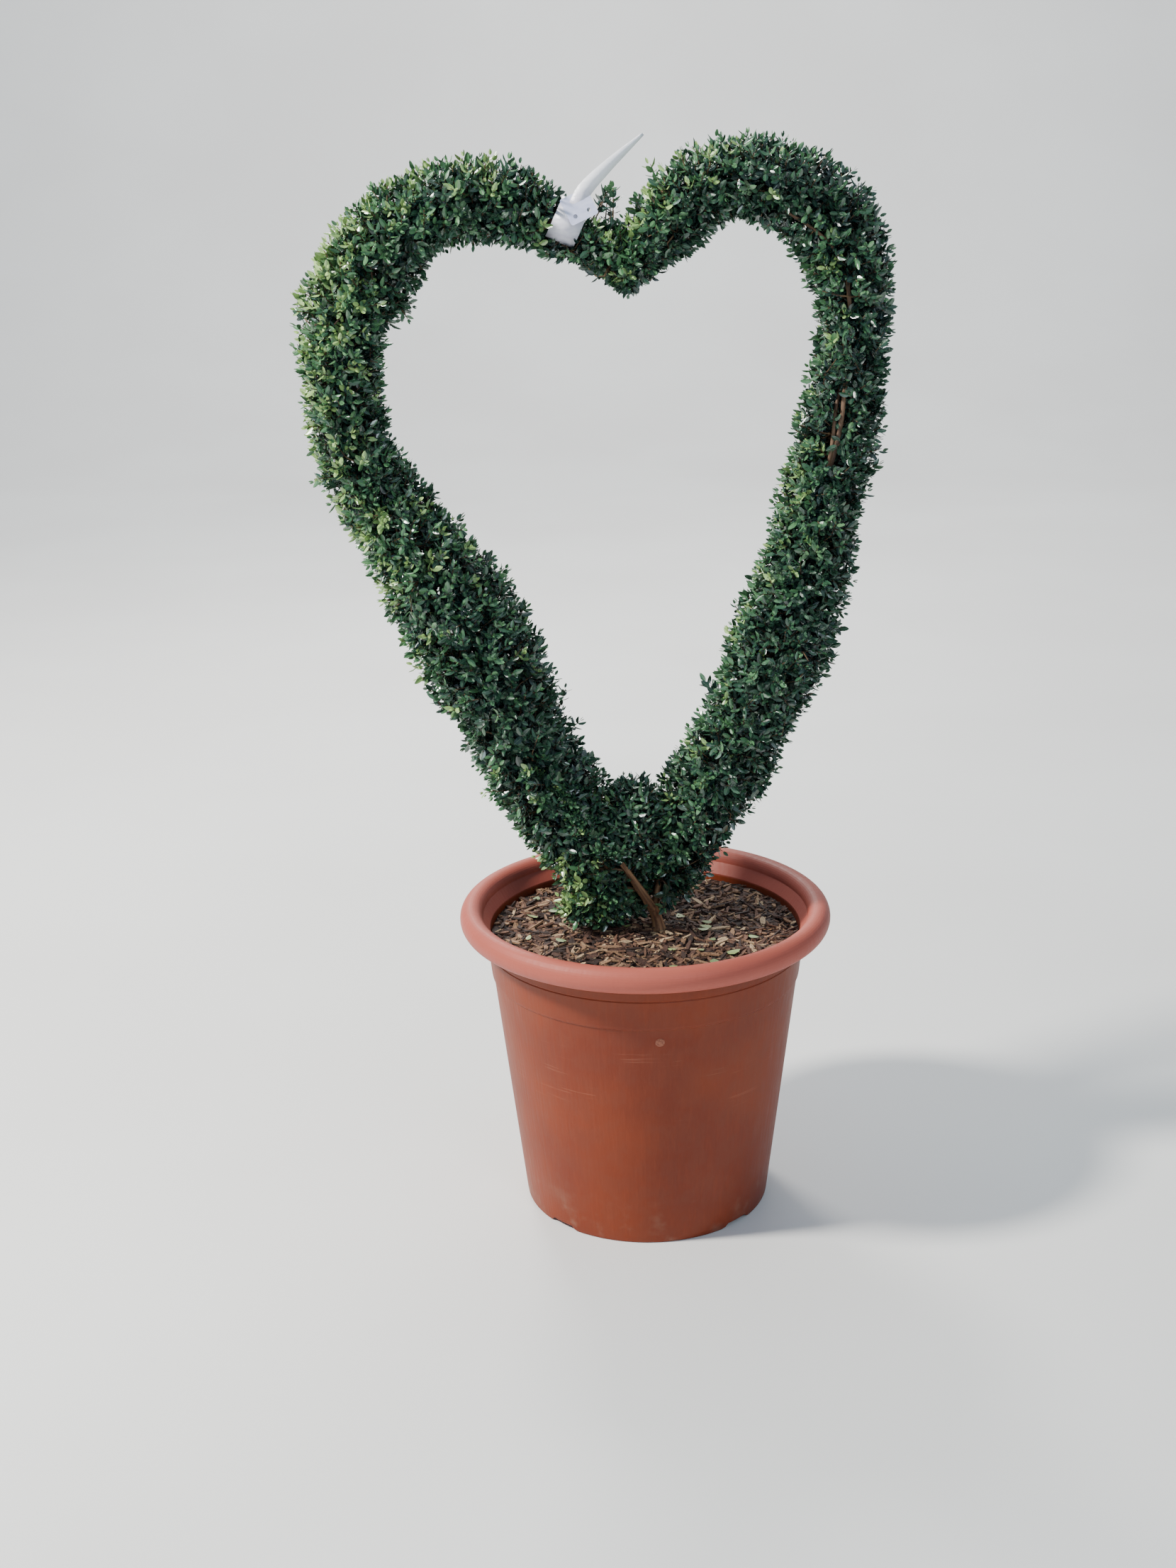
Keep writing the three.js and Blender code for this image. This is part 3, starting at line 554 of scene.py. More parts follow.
class Recipe(Tree):
    """Geometry Nodes with named inputs that end in Realize Instances and Set Material."""

    def __init__(self, name, inputs):
        super().__init__(bpy.data.node_groups.new(name, "GeometryNodeTree"))
        sockets = self.tree.interface
        sockets.new_socket("Geometry", in_out="INPUT", socket_type="NodeSocketGeometry")
        self.names = {}
        for label, kind in {**inputs, "Material": "Material"}.items():
            made = sockets.new_socket(label, in_out="INPUT", socket_type="NodeSocket" + kind)
            self.names[label] = made.identifier
        sockets.new_socket("Geometry", in_out="OUTPUT", socket_type="NodeSocketGeometry")
        self.inputs = self.node("NodeGroupInput").outputs

    def named(self, label, kind="FLOAT"):
        return self.node("GeometryNodeInputNamedAttribute", {"data_type": kind}, {"Name": label}).outputs[0]

    def random(self, low, high, seed):
        if isinstance(low, tuple):
            values = {0: low, 1: high, "Seed": seed}
            return self.node("FunctionNodeRandomValue", {"data_type": "FLOAT_VECTOR"}, values).outputs[0]
        return self.node("FunctionNodeRandomValue", None, {2: low, 3: high, "Seed": seed}).outputs[1]

    def kept(self, geometry, name, value, **settings):
        """The geometry with a value of its own stored under a name."""
        return self.node("GeometryNodeStoreNamedAttribute", settings, {
            0: geometry, "Name": name, "Value": value}).outputs[0]

    def end(self, geometry):
        real = self.node("GeometryNodeRealizeInstances", None, {0: geometry})
        dressed = self.node("GeometryNodeSetMaterial", None, {
            0: real.outputs[0], 2: self.inputs["Material"]})
        self.put(self.node("NodeGroupOutput").inputs[0], dressed.outputs[0])

    def make(self, name, mesh, values):
        piece = bpy.data.objects.new(name, mesh)
        bpy.context.scene.collection.objects.link(piece)
        modifier = piece.modifiers.new(self.tree.name, "NODES")
        modifier.node_group = self.tree
        for label, value in values.items():
            modifier[self.names[label]] = value
        graph = bpy.context.evaluated_depsgraph_get()
        made = bpy.data.meshes.new_from_object(
            piece.evaluated_get(graph), preserve_all_data_layers=True, depsgraph=graph)
        piece.modifiers.clear()
        piece.data = made
        made.name = name
        return piece


# Pot

def pot_recipe():
    """Turns a profile, given as a row of points, round an axis, and lifts notches out of its foot."""
    recipe = Recipe("turned_pot", {
        "Segments": "Int", "Notches": "Int", "Notch Height": "Float", "Notch Foot": "Float",
        "Notch Slope": "Float", "Notch Start": "Float", "Sharp Angle": "Float",
    })
    given = recipe.inputs
    profile = given["Geometry"]
    rows = recipe.node("GeometryNodeAttributeDomainSize", None, {0: profile}).outputs["Point Count"]
    columns = Amount(recipe, given["Segments"]) + 1
    grid = recipe.node("GeometryNodeMeshGrid", None, {"Vertices X": columns, "Vertices Y": rows})
    index = recipe.amount("GeometryNodeInputIndex")
    column = ((index + 0.5) / rows).of("FLOOR")
    row = index - column * rows
    place = recipe.node("GeometryNodeInputPosition").outputs[0]
    point = recipe.node("GeometryNodeSampleIndex", {"data_type": "FLOAT_VECTOR"}, {
        0: profile, 1: place, 2: row}).outputs[0]
    radius, height = (recipe.part(point, axis) for axis in "XZ")
    angle = column / given["Segments"] * (2 * math.pi)
    turns = angle / (2 * math.pi) * given["Notches"]
    from_notch = (turns.of("FRACT") - 0.5).size()
    sideways = from_notch * (2 * math.pi) / given["Notches"] * radius
    half = Amount(recipe, given["Notch Foot"]) / 2
    inside = recipe.amount("ShaderNodeMapRange", None, {
        0: sideways, 1: half - given["Notch Slope"], 2: half, 3: 1, 4: 0})
    wanted = inside * radius.of("GREATER_THAN", given["Notch Start"]) * given["Notch Height"]
    lifted = height.of("MAXIMUM", wanted)
    turned = recipe.combined(radius * angle.of("COSINE"), radius * angle.of("SINE"), lifted)
    body = recipe.node("GeometryNodeSetPosition", None, {0: grid.outputs[0], "Position": turned})
    closed = recipe.node("GeometryNodeMergeByDistance", None, {0: body.outputs[0], "Distance": 1e-5})
    soft = recipe.amount("GeometryNodeInputMeshEdgeAngle").of("LESS_THAN", given["Sharp Angle"])
    smooth = recipe.node("GeometryNodeSetShadeSmooth", {"domain": "EDGE"}, {0: closed.outputs[0], 2: soft})
    recipe.end(smooth.outputs[0])
    return recipe


def wall_radius(height):
    return FOOT_RADIUS + (SHOULDER_RADIUS - BAND_STEP - FOOT_RADIUS) * height / RIM_FOOT


def pot_profile():
    """Radius and height of the pot's skin, from the middle of its underside to the inner floor."""
    notch_edge = FOOT_RADIUS - NOTCH_DEPTH
    rows = [(0, 0), (60, 0), (notch_edge, 0), (notch_edge + 0.1, 0), (FOOT_RADIUS - 2, 0)]
    rows += [(FOOT_RADIUS - 0.6, 0.6), (FOOT_RADIUS, 2)]
    rows += [(wall_radius(z), z) for z in (6, 20, *range(50, 260, 35), BAND_HEIGHT - 1, BAND_HEIGHT)]
    rows.append((wall_radius(BAND_HEIGHT) + BAND_STEP, BAND_HEIGHT + BAND_STEP))
    # A seam runs round the belt
    for z, sunk in ((BAND_HEIGHT + 4, 0), (285, 0), (SEAM_HEIGHT - 1.2, 0), (SEAM_HEIGHT, 0.7),
                    (SEAM_HEIGHT + 1.2, 0), (308, 0), (RIM_FOOT - 2, 0)):
        rows.append((wall_radius(z) + BAND_STEP - sunk, z))
    rows.append((wall_radius(RIM_FOOT) + 3, RIM_FOOT))
    for step in range(RIM_STEPS + 1):
        angle = -math.pi / 2 + 1.5 * math.pi * step / RIM_STEPS
        rows.append((RIM_RADIUS - RIM_HALF_WIDTH * (1 - math.cos(angle)),
                     POT_HEIGHT - RIM_HALF_HEIGHT * (1 - math.sin(angle))))
    rows.append((wall_radius(RIM_FOOT) - WALL + 0.5, RIM_FOOT + 2))
    rows.append((wall_radius(RIM_FOOT) - WALL, RIM_FOOT - 3))
    rows += [(wall_radius(z) - WALL, z) for z in (250, 150, 60, FLOOR)]
    rows += [(60, FLOOR), (0, FLOOR)]
    return np.array([(r, 0, z) for r, z in rows]) * MM


def make_pot(material):
    profile = pot_profile()
    edges = [(i, i + 1) for i in range(len(profile) - 1)]
    mesh = bpy.data.meshes.new("pot_profile")
    mesh.from_pydata([tuple(p) for p in profile], edges, [])
    return pot_recipe().make("pot_body", mesh, {
        "Segments": POT_SEGMENTS, "Notches": NOTCH_COUNT, "Notch Height": NOTCH_HEIGHT * MM,
        "Notch Foot": NOTCH_FOOT_WIDTH * MM, "Notch Slope": NOTCH_SLOPE * MM,
        "Notch Start": (FOOT_RADIUS - NOTCH_DEPTH + 0.05) * MM, "Sharp Angle": 0.6, "Material": material,
    })


def make_gate_mark(material):
    """The small round mark that the mould leaves on the front of the pot."""
    points = []
    for distance, rise in GATE_RINGS:
        for side in range(GATE_SIDES):
            turn = 2 * math.pi * side / GATE_SIDES
            z = GATE_HEIGHT + distance * math.sin(turn)
            angle = GATE_ANGLE + distance * math.cos(turn) / wall_radius(z)
            radius = wall_radius(z) + rise
            points.append((radius * math.cos(angle), radius * math.sin(angle), z))
    faces = ring_faces(len(GATE_RINGS) - 1, GATE_SIDES, flipped=True)
    return shown("pot_gate_mark", mesh_of("pot_gate_mark", np.array(points) * MM, faces), material)


# Filling

# Length, width and thickness of each kind of chip, and where along it is how wide
CHIP_SIZES = [
    (26, 4.5, 2.2), (20, 6.5, 2.6), (16, 3.2, 1.8), (13, 7, 2.4),
    (23, 3.4, 2.0), (9, 5, 2.2), (18, 5, 1.6), (30, 4.0, 2.4),
]
CHIP_TAPER = [(-0.5, 0.35), (-0.3, 0.9), (0.1, 1.0), (0.38, 0.75), (0.5, 0.25)]
# Name, number for each square metre, smallest and largest size, lift and seed
CHIP_LAYERS = [("chips_coarse", 17000, 0.6, 0.95, 2.4, 3), ("chips_fine", 33000, 0.22, 0.5, 2.0, 19)]
CHIP_TILT = 0.42
FALLEN_LEAVES = 26
FALLEN_REACH = 150


def lump_height(x, y):
    from_trunk = np.hypot(x - TRUNK_ROUTE[0][0], y - PLANT_ORIGIN[1])
    rise = np.clip((from_trunk - 24) / 24, 0, 1)
    rise = rise * rise * (3 - 2 * rise)
    wide, narrow = 2 * np.pi / 107, 2 * np.pi / 57
    waves = np.sin(wide * x) * np.cos(wide * y) + np.sin(narrow * (x - y))
    return -CHIPS_LUMP * rise * (0.5 - 0.25 * waves)


def make_bed(material):
    """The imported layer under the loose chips, closed at its side and bottom."""
    rng = np.random.default_rng(31)
    rings, sides = 34, 96
    clearance = WALL + 0.6
    outside = wall_radius(CHIPS_TOP) - clearance
    points = []
    angle = 2 * np.pi * np.arange(sides) / sides
    for ring in range(rings):
        radius = outside * (1 - ring / rings)
        x, y = radius * np.cos(angle), radius * np.sin(angle)
        z = CHIPS_TOP - 1.2 + lump_height(x, y) + rng.normal(0, 0.55, sides)
        points += list(zip(x, y, z))
    low = CHIPS_TOP - CHIPS_DEPTH + GAP
    inside = wall_radius(low) - clearance
    points = list(zip(inside * np.cos(angle), inside * np.sin(angle), [low] * sides)) + points
    faces = ring_faces(rings, sides)
    last = rings * sides
    faces += [tuple(range(last, last + sides)), tuple(range(sides - 1, -1, -1))]
    tone = rng.uniform(0.05, 0.5, len(points))
    mesh = mesh_of("chip_bed", np.array(points) * MM, faces, own={"tone": tone})
    return shown("chip_bed", mesh, material)


def chip_shapes(rng):
    """A few shards of wood, each with tapered and broken ends."""
    shapes = []
    faces = [(3, 2, 1, 0), (16, 17, 18, 19), *ring_faces(len(CHIP_TAPER) - 1, 4)]
    for length, width, thick in CHIP_SIZES:
        rows = []
        bend = rng.uniform(-1.6, 1.6)
        for t, w in CHIP_TAPER:
            w = w * rng.uniform(0.8, 1.2)
            x = t * length
            y = bend * (1 - 4 * t * t)
            for side, level in [(-1, -1), (1, -1), (1, 1), (-1, 1)]:
                rows.append((x + rng.uniform(-0.8, 0.8), y + side * w * width / 2,
                             level * thick / 2 * rng.uniform(0.6, 1.1)))
        shapes.append(mesh_of("chip_shape", np.array(rows) * MM, faces))
    return shapes


def gathered(name, meshes):
    """A collection that holds an object of each mesh."""
    group = bpy.data.collections.new(name)
    for i, mesh in enumerate(meshes):
        group.objects.link(bpy.data.objects.new(f"{name}_{i:02d}", mesh))
    return group


def scatter_recipe():
    """Strews the objects of a collection over a surface."""
    recipe = Recipe("strewn_chips", {
        "Chips": "Collection", "Density": "Float", "Seed": "Int",
        "Smallest": "Float", "Largest": "Float", "Tilt": "Float", "Lift": "Float",
    })
    given = recipe.inputs
    seed = Amount(recipe, given["Seed"])
    spread = recipe.node("GeometryNodeDistributePointsOnFaces", None, {
        0: given["Geometry"], "Density": given["Density"], "Seed": given["Seed"]})
    chips = recipe.node("GeometryNodeCollectionInfo", None, {0: given["Chips"], 1: True, 2: True})
    tilt = recipe.vector("SCALE", recipe.random((-1, -1, 0), (1, 1, 0), seed + 1), given["Tilt"])
    euler = recipe.vector("ADD", tilt, recipe.random((0, 0, 0), (0, 0, 2 * math.pi), seed + 2))
    rotation = recipe.node("FunctionNodeEulerToRotation", None, {0: euler})
    size = recipe.random(given["Smallest"], given["Largest"], seed + 3)
    strewn = recipe.node("GeometryNodeInstanceOnPoints", None, {
        0: spread.outputs[0], 2: chips.outputs[0], 3: True, 5: rotation.outputs[0], 6: size})
    rise = recipe.combined(z=recipe.random(0.0, given["Lift"], seed + 4))
    lifted = recipe.node("GeometryNodeTranslateInstances", None, {0: strewn.outputs[0], 2: rise})
    tone = recipe.random(0.0, 1.0, seed + 5)
    recipe.end(recipe.kept(lifted.outputs[0], "tone", tone, domain="INSTANCE"))
    return recipe


def make_chips(material):
    rng = np.random.default_rng(32)
    sides, rings = 48, 12
    points = []
    angle = 2 * np.pi * np.arange(sides) / sides
    for ring in range(rings + 1):
        radius = 4 + 159 * ring / rings
        x, y = radius * np.cos(angle), radius * np.sin(angle)
        points += list(zip(x, y, CHIPS_TOP - 0.6 + lump_height(x, y)))
    faces = ring_faces(rings, sides, flipped=True)
    group = gathered("chip", chip_shapes(rng))
    recipe = scatter_recipe()
    pieces = []
    for name, density, low, high, lift, seed in CHIP_LAYERS:
        top = mesh_of("chip_ground", np.array(points) * MM, faces)
        piece = recipe.make(name, top, {
            "Chips": group, "Density": density, "Seed": seed, "Smallest": low, "Largest": high,
            "Tilt": CHIP_TILT, "Lift": lift * MM, "Material": material})
        clear_of_wall(piece)
        pieces.append(piece)
    return pieces


def clear_of_wall(piece):
    """Draws in what would stand in the pot's wall."""
    count = len(piece.data.vertices)
    flat = np.empty(count * 3, np.float32)
    piece.data.vertices.foreach_get("co", flat)
    points = flat.reshape(-1, 3)
    radius = np.hypot(points[:, 0], points[:, 1])
    most = (wall_radius(CHIPS_TOP) - WALL - 1) * MM
    share = np.minimum(1, most / np.maximum(radius, 1e-6))
    points[:, :2] *= share[:, None]
    piece.data.vertices.foreach_set("co", points.ravel())
    piece.data.update()


def make_fallen_leaves(material):
    """A few old leaves that lie on the chips."""
    rng = np.random.default_rng(33)
    points, faces, flat = [], [], []
    for _ in range(FALLEN_LEAVES):
        radius, angle = FALLEN_REACH * rng.random() ** 0.5, rng.uniform(0, 2 * np.pi)
        turn, tilt = rng.uniform(0, 2 * np.pi), rng.uniform(-0.25, 0.25)
        way = np.array([math.cos(turn) * math.cos(tilt), math.sin(turn) * math.cos(tilt), math.sin(tilt)])
        sideways = units(np.cross(np.array([0, 0, 1.0]), way))
        x, y = radius * math.cos(angle), radius * math.sin(angle)
        length = rng.uniform(9, 17)
        foot = np.array([x, y, CHIPS_TOP + 3.4 + lump_height(x, y)]) - way * length / 2
        rows, uv = leaf_rows(foot, way, -sideways, length, length * rng.uniform(0.5, 0.8), 0.15, 0.1)
        faces += [tuple(i + len(points) for i in face) for face in LEAF_FACES]
        points += rows
        flat += uv
    tone = np.repeat(rng.uniform(0.3, 1, FALLEN_LEAVES), LEAF_POINTS).astype(np.float32)
    mesh = mesh_of("fallen_leaves", np.array(points) * MM, faces, flat, {"tone": tone, "age": tone})
    return shown("fallen_leaves", mesh, material)


# Trunk and stems

def seeded_random(seed):
    """Repeatable random numbers from 0 to 1, as the solids use for the stems."""
    full = 0xFFFFFFFF
    state = seed

    def draw():
        nonlocal state
        state = (state + 0x6D2B79F5) & full
        mixed = ((state ^ (state >> 15)) * (1 | state)) & full
        mixed = ((mixed + (mixed ^ (mixed >> 7)) * (61 | mixed)) & full) ^ mixed
        return (mixed ^ (mixed >> 14)) / 4294967296
    return draw


def stem_route(start, arm, seed):
    draw = seeded_random(seed)
    entry = start[-1][2]
    route = list(start)
    for x, y, z, _ in arm:
        if z > entry + STEM_JOIN:
            aside, behind = ((draw() - 0.5) * 2 * STEM_WANDER for _ in range(2))
            route.append([x + aside, y + behind, z])
    return Route(route)


def limb_recipe():
    """Draws a limb of changing girth along a line and gives its bark a relief of long ridges."""
    recipe = Recipe("barked_limbs", {
        "Sides": "Int", "Step": "Float", "Ridge Depth": "Float", "Ridge Size": "Float",
        "Knot Depth": "Float"})
    given = recipe.inputs
    line = recipe.node("GeometryNodeMeshToCurve", None, {0: given["Geometry"]})
    resampled = recipe.node("GeometryNodeResampleCurve", {"mode": "LENGTH"}, {
        0: line.outputs[0], "Length": given["Step"]})
    ring = recipe.node("GeometryNodeCurvePrimitiveCircle", None, {
        "Resolution": given["Sides"], "Radius": 1.0})
    way = recipe.node("GeometryNodeSplineParameter").outputs
    tube = recipe.node("GeometryNodeCurveToMesh", None, {
        "Curve": recipe.kept(resampled.outputs[0], "along", way["Length"], domain="POINT"),
        "Profile Curve": recipe.kept(ring.outputs[0], "turn", way["Factor"], domain="POINT"),
        "Scale": recipe.named("girth"), "Fill Caps": True})
    along, turn, girth = (Amount(recipe, recipe.named(name)) for name in ("along", "turn", "girth"))
    angle = turn * (2 * math.pi)
    lengthwise = recipe.combined(angle.of("COSINE") * 2.2, angle.of("SINE") * 2.2,
                                 along / given["Ridge Size"] * 0.18)
    ridges = recipe.clouds(lengthwise, 3.0)
    place = recipe.node("GeometryNodeInputPosition").outputs[0]
    knots = recipe.clouds(recipe.vector("SCALE", place, 60.0), 1.0)
    rise = (ridges - 0.5) * 2 * given["Ridge Depth"] + (knots - 0.5) * 2 * given["Knot Depth"]
    normal = recipe.node("GeometryNodeInputNormal").outputs[0]
    barked = recipe.node("GeometryNodeSetPosition", None, {
        0: tube.outputs[0], "Offset": recipe.vector("SCALE", normal, rise * girth)})
    mapped = recipe.kept(barked.outputs[0], "UVMap", recipe.combined(turn, along * 200),
                         domain="CORNER", data_type="FLOAT2")
    smooth = recipe.node("GeometryNodeSetShadeSmooth", None, {0: mapped, 2: True})
    recipe.end(smooth.outputs[0])
    return recipe


def line_mesh(name, lines):
    """Edges along several lines, with the girth at each point; girths are given in metres."""
    points, edges, girths = [], [], []
    for line, girth in lines:
        first = len(points)
        points += [tuple(p) for p in metres(line)]
        girths += list(np.asarray(girth) * MM)
        edges += [(first + i, first + i + 1) for i in range(len(line) - 1)]
    mesh = bpy.data.meshes.new(name)
    mesh.from_pydata(points, edges, [])
    layer = mesh.attributes.new("girth", "FLOAT", "POINT")
    layer.data.foreach_set("value", girths)
    return mesh


def stem_girth(share):
    return STEM_FOOT_RADIUS + (STEM_TIP_RADIUS - STEM_FOOT_RADIUS) * share ** STEM_TAPER


def make_limbs(stems, material):
    trunk = Route(TRUNK_ROUTE)
    share = np.linspace(0, 1, 14)
    girth = TRUNK_SLIMMING * (TRUNK_RADIUS + (FLARE_RADIUS - TRUNK_RADIUS) * (1 - share) ** 3)
    lines = [(trunk.at(share), girth)]
    for points, radius in FRONT_STEMS:
        share = np.linspace(0, 1, 50)
        lines.append((Route(points).at(share), np.full(len(share), radius)))
    for route, turn, flare in zip(stems, COMPANION_TURNS, STEM_FLARES):
        share = np.linspace(0, STEM_END, 180)
        flaring = flare * np.exp(-(share / STEM_FLARE_SHARE) ** 2)
        girth = stem_girth(share) * (STEM_SLIMMING + flaring)
        lines.append((route.at(share), girth))
        # Thinner shoots leave each stem above its foot and wind round it
        for part, start in enumerate(COMPANION_STARTS):
            own = np.linspace(start, 0.93 - 0.1 * part, 150)
            u, v = across(route.way(own))
            pitch = COMPANION_PITCH + 34 * part
            angle = (own * route.length / pitch * 2 * np.pi + turn + 2.6 * part)[:, None]
            leaving = np.minimum(1, (own - start) / COMPANION_LEAVING)
            offset = ((np.interp(own, share, girth) + COMPANION_GAP) * leaving)[:, None]
            winding = (u * np.cos(angle) + v * np.sin(angle)) * offset
            lines.append((route.at(own) + winding, 2.0 - 1.0 * own))
    return limb_recipe().make("trunk_and_stems", line_mesh("limb_lines", lines), {
        "Sides": 14, "Step": 3.0 * MM, "Ridge Depth": 0.34, "Ridge Size": 5 * MM, "Knot Depth": 0.22,
        "Material": material})


# Foliage

LEAF_EDGE = ((0.17, 0.36), (0.48, 0.5), (0.82, 0.31))
LEAF_FACES = [(0, 3, 4, 1), (1, 4, 5, 2), (0, 1, 7, 6), (1, 2, 8, 7)]
LEAF_POINTS = 9
# The lighter kinds are partly painted sunlight and the darker ones partly painted shade.
# Name, size of the leaves and spread of the lowest pair
LEAF_KINDS = [("dark", 1.0, 1.3), ("middling", 1.0, 1.2), ("fresh", 0.94, 1.05)]


def leaf_rows(foot, way, sideways, length, width, fold, droop):
    """Points of one folded, oval leaf: three along its rib and three on each edge."""
    up = np.cross(way, sideways)
    points = []
    flat = []
    for t in (0, 0.5, 1):
        points.append(foot + way * length * t - up * droop * length * t * t)
        flat.append((0.5, t))
    for side in (-1, 1):
        for t, half in LEAF_EDGE:
            out = side * half * width
            rise = fold * abs(out) - droop * length * t * t
            points.append(foot + way * length * t + sideways * out + up * rise)
            flat.append((0.5 + side * half, t))
    return points, flat


def spray_mesh(rng, pairs, length, leaf, spread):
    """Leaves in crossed pairs up a shoot along +Z, with a closed pair at its tip."""
    points, faces, flat, ages = [], [], [], []

    def add(foot, way, sideways, size, age, fold):
        width = size * LEAF_WIDTH_RATIO * rng.uniform(0.86, 1.14)
        rows, uv = leaf_rows(foot, way, sideways, size, width, fold, rng.uniform(-0.05, 0.24))
        faces.extend(tuple(i + len(points) for i in face) for face in LEAF_FACES)
        points.extend(rows)
        flat.extend(uv)
        ages.extend([age] * len(rows))

    sway = rng.uniform(-0.08, 0.08, 2)
    for pair in range(pairs + 1):
        share = pair / pairs
        z = length * (0.16 + 0.84 * share)
        foot = np.array([sway[0] * z * share, sway[1] * z * share, z])
        closing = rng.uniform(0.86, 1.14) * (spread * (1 - share) + 0.86 * share)
        size = leaf * (0.8 + 0.26 * math.sin(math.pi * (0.1 + 0.7 * share)))
        turn = pair * math.pi / 2 + rng.normal(0, 0.18)
        if pair == pairs:
            closing *= 0.36
            size *= 0.6
        for side in (0, math.pi):
            out = np.array([math.cos(turn + side), math.sin(turn + side), 0])
            way = out * math.sin(closing) + np.array([0, 0, math.cos(closing)])
            twist = rng.normal(0, 0.26)
            sideways = np.cross(np.array([0, 0, 1.0]), out)
            up = np.cross(way, sideways)
            sideways = sideways * math.cos(twist) + up * math.sin(twist)
            # The upper side of a leaf looks along the shoot
            add(foot, way, -sideways, size * rng.uniform(0.84, 1.14), share * rng.uniform(0.8, 1),
                rng.uniform(0.12, 0.45))
    return mesh_of("spray", np.array(points) * MM, faces, flat, {"age": np.array(ages, np.float32)})


def spray_recipe():
    """Sets a spray of leaves on each point, with the turn, size and choice that the point carries."""
    recipe = Recipe("leaf_sprays", {"Sprays": "Collection", "Size": "Float"})
    given = recipe.inputs
    sprays = recipe.node("GeometryNodeCollectionInfo", None, {0: given["Sprays"], 1: True, 2: True})
    rotation = recipe.node("FunctionNodeEulerToRotation", None, {
        0: recipe.named("turn", "FLOAT_VECTOR")})
    points = recipe.node("GeometryNodeMeshToPoints", None, {0: given["Geometry"]})
    grown = recipe.node("GeometryNodeInstanceOnPoints", None, {
        0: points.outputs[0], 2: sprays.outputs[0], 3: True, 4: recipe.named("choice", "INT"),
        5: rotation.outputs[0], 6: Amount(recipe, recipe.named("size")) * given["Size"]})
    recipe.end(grown.outputs[0])
    return recipe


def lumps(along, angle):
    short, long = (2 * np.pi * along / length for length in CORE_LUMP_LENGTHS)
    return 1 + CORE_LUMP * (np.sin(3 * angle + short) + np.sin(2 * angle - long))


def patches(points, size):
    """Slow waves from -1 to 1 through space."""
    x, y, z = (points / size).T
    return (np.sin(x * 2.1 + 1.3 * np.sin(z)) + np.sin(y * 1.7 + z * 1.2) + np.sin(z * 1.9 - x * 1.1)) / 3


class Shoots:
    """Feet, ways and lengths of shoots, with the region that each belongs to."""

    def __init__(self):
        self.feet, self.ways, self.lengths, self.outwards, self.regions = [], [], [], [], []

    def add(self, tips, outwards, length, region, rng, stray=0.28):
        pull = np.array([0, 0, UPWARD_PULL])
        way = units(outwards + pull + rng.normal(0, stray, tips.shape))
        self.feet.append(tips - way * length[:, None])
        self.ways.append(way)
        self.lengths.append(length)
        self.outwards.append(outwards)
        self.regions.append(np.full(len(tips), region) if np.isscalar(region) else region)

    def joined(self):
        return (np.concatenate(part) for part in
                (self.feet, self.ways, self.lengths, self.outwards, self.regions))


REGIONS = ["heart_point", "left_arm", "left_lobe", "heart_dip", "right_arm", "right_lobe"]
LEFT_REGION_MARKS = [2, 8, 13]
RIGHT_REGION_MARKS = [2, 8, 14]
HEART_POINT = REGIONS.index("heart_point")
HEART_DIP = REGIONS.index("heart_dip")
REGION_NODES = {
    "heart_point": ["foliage_heart_point"],
    "left_arm": ["foliage_left_arm_low", "foliage_left_arm_high", "foliage_left_side"],
    "left_lobe": ["foliage_left_shoulder", "foliage_left_lobe"],
    "heart_dip": ["foliage_heart_dip"],
    "right_arm": ["foliage_right_arm_low", "foliage_right_arm_high", "foliage_right_side"],
    "right_lobe": ["foliage_right_shoulder", "foliage_right_lobe"],
}


def region_of(mark, side):
    order = ([0, 1, 2, 3], [0, 4, 5, 3])[side]
    marks = (LEFT_REGION_MARKS, RIGHT_REGION_MARKS)[side]
    return np.array(order)[np.searchsorted(marks, mark, side="right")]


def placed(route, radii, share, angle, reach):
    """Tips and outward ways of shoots round an arm, at angles and reaches of their own."""
    u, v = across(route.way(share))
    c, s = np.cos(angle)[:, None], np.sin(angle)[:, None]
    return route.at(share) + (c * u + s * v * DEPTH_RATIO) * reach[:, None], c * u + s * v


def grow_arm(shoots, route, radii, side, rng):
    marks = np.arange(len(radii))
    for spacing, low, high, length in ((SHOOT_SPACING, 0.8, 1.0, SHOOT_LENGTH),
                                       (INNER_SPACING, 0.5, 0.72, SHOOT_LENGTH * 0.85)):
        count = int(2 * np.pi * radii.mean() * route.length / spacing ** 2)
        k = np.arange(count)
        share = (k + rng.random(count)) / count
        # Wider stretches of an arm carry more shoots
        table = np.linspace(0, 1, 200)
        weight = np.cumsum(np.interp(route.mark(table), marks, radii))
        share = np.interp(share, weight / weight[-1], table)
        angle = k * GOLDEN_ANGLE + rng.uniform(0, 0.9, count)
        mark = route.mark(share)
        reach = np.interp(mark, marks, radii) * lumps(share * route.length, angle)
        tips, out = placed(route, radii, share, angle, reach * rng.uniform(low, high, count))
        shoots.add(tips, out, length * rng.uniform(0.8, 1.08, count), region_of(mark, side), rng)
    # Shoots that stand out, a few of them by far
    share = rng.uniform(0.04, 0.98, STRAY_SHOOTS)
    angle = rng.uniform(0, 2 * np.pi, STRAY_SHOOTS)
    mark = route.mark(share)
    reach = np.interp(mark, marks, radii) + STRAY_REACH * rng.random(STRAY_SHOOTS) ** 3
    tips, out = placed(route, radii, share, angle, reach)
    length = SHOOT_LENGTH * rng.uniform(0.85, 1.05, STRAY_SHOOTS)
    shoots.add(tips, out, length, region_of(mark, side), rng, 0.4)


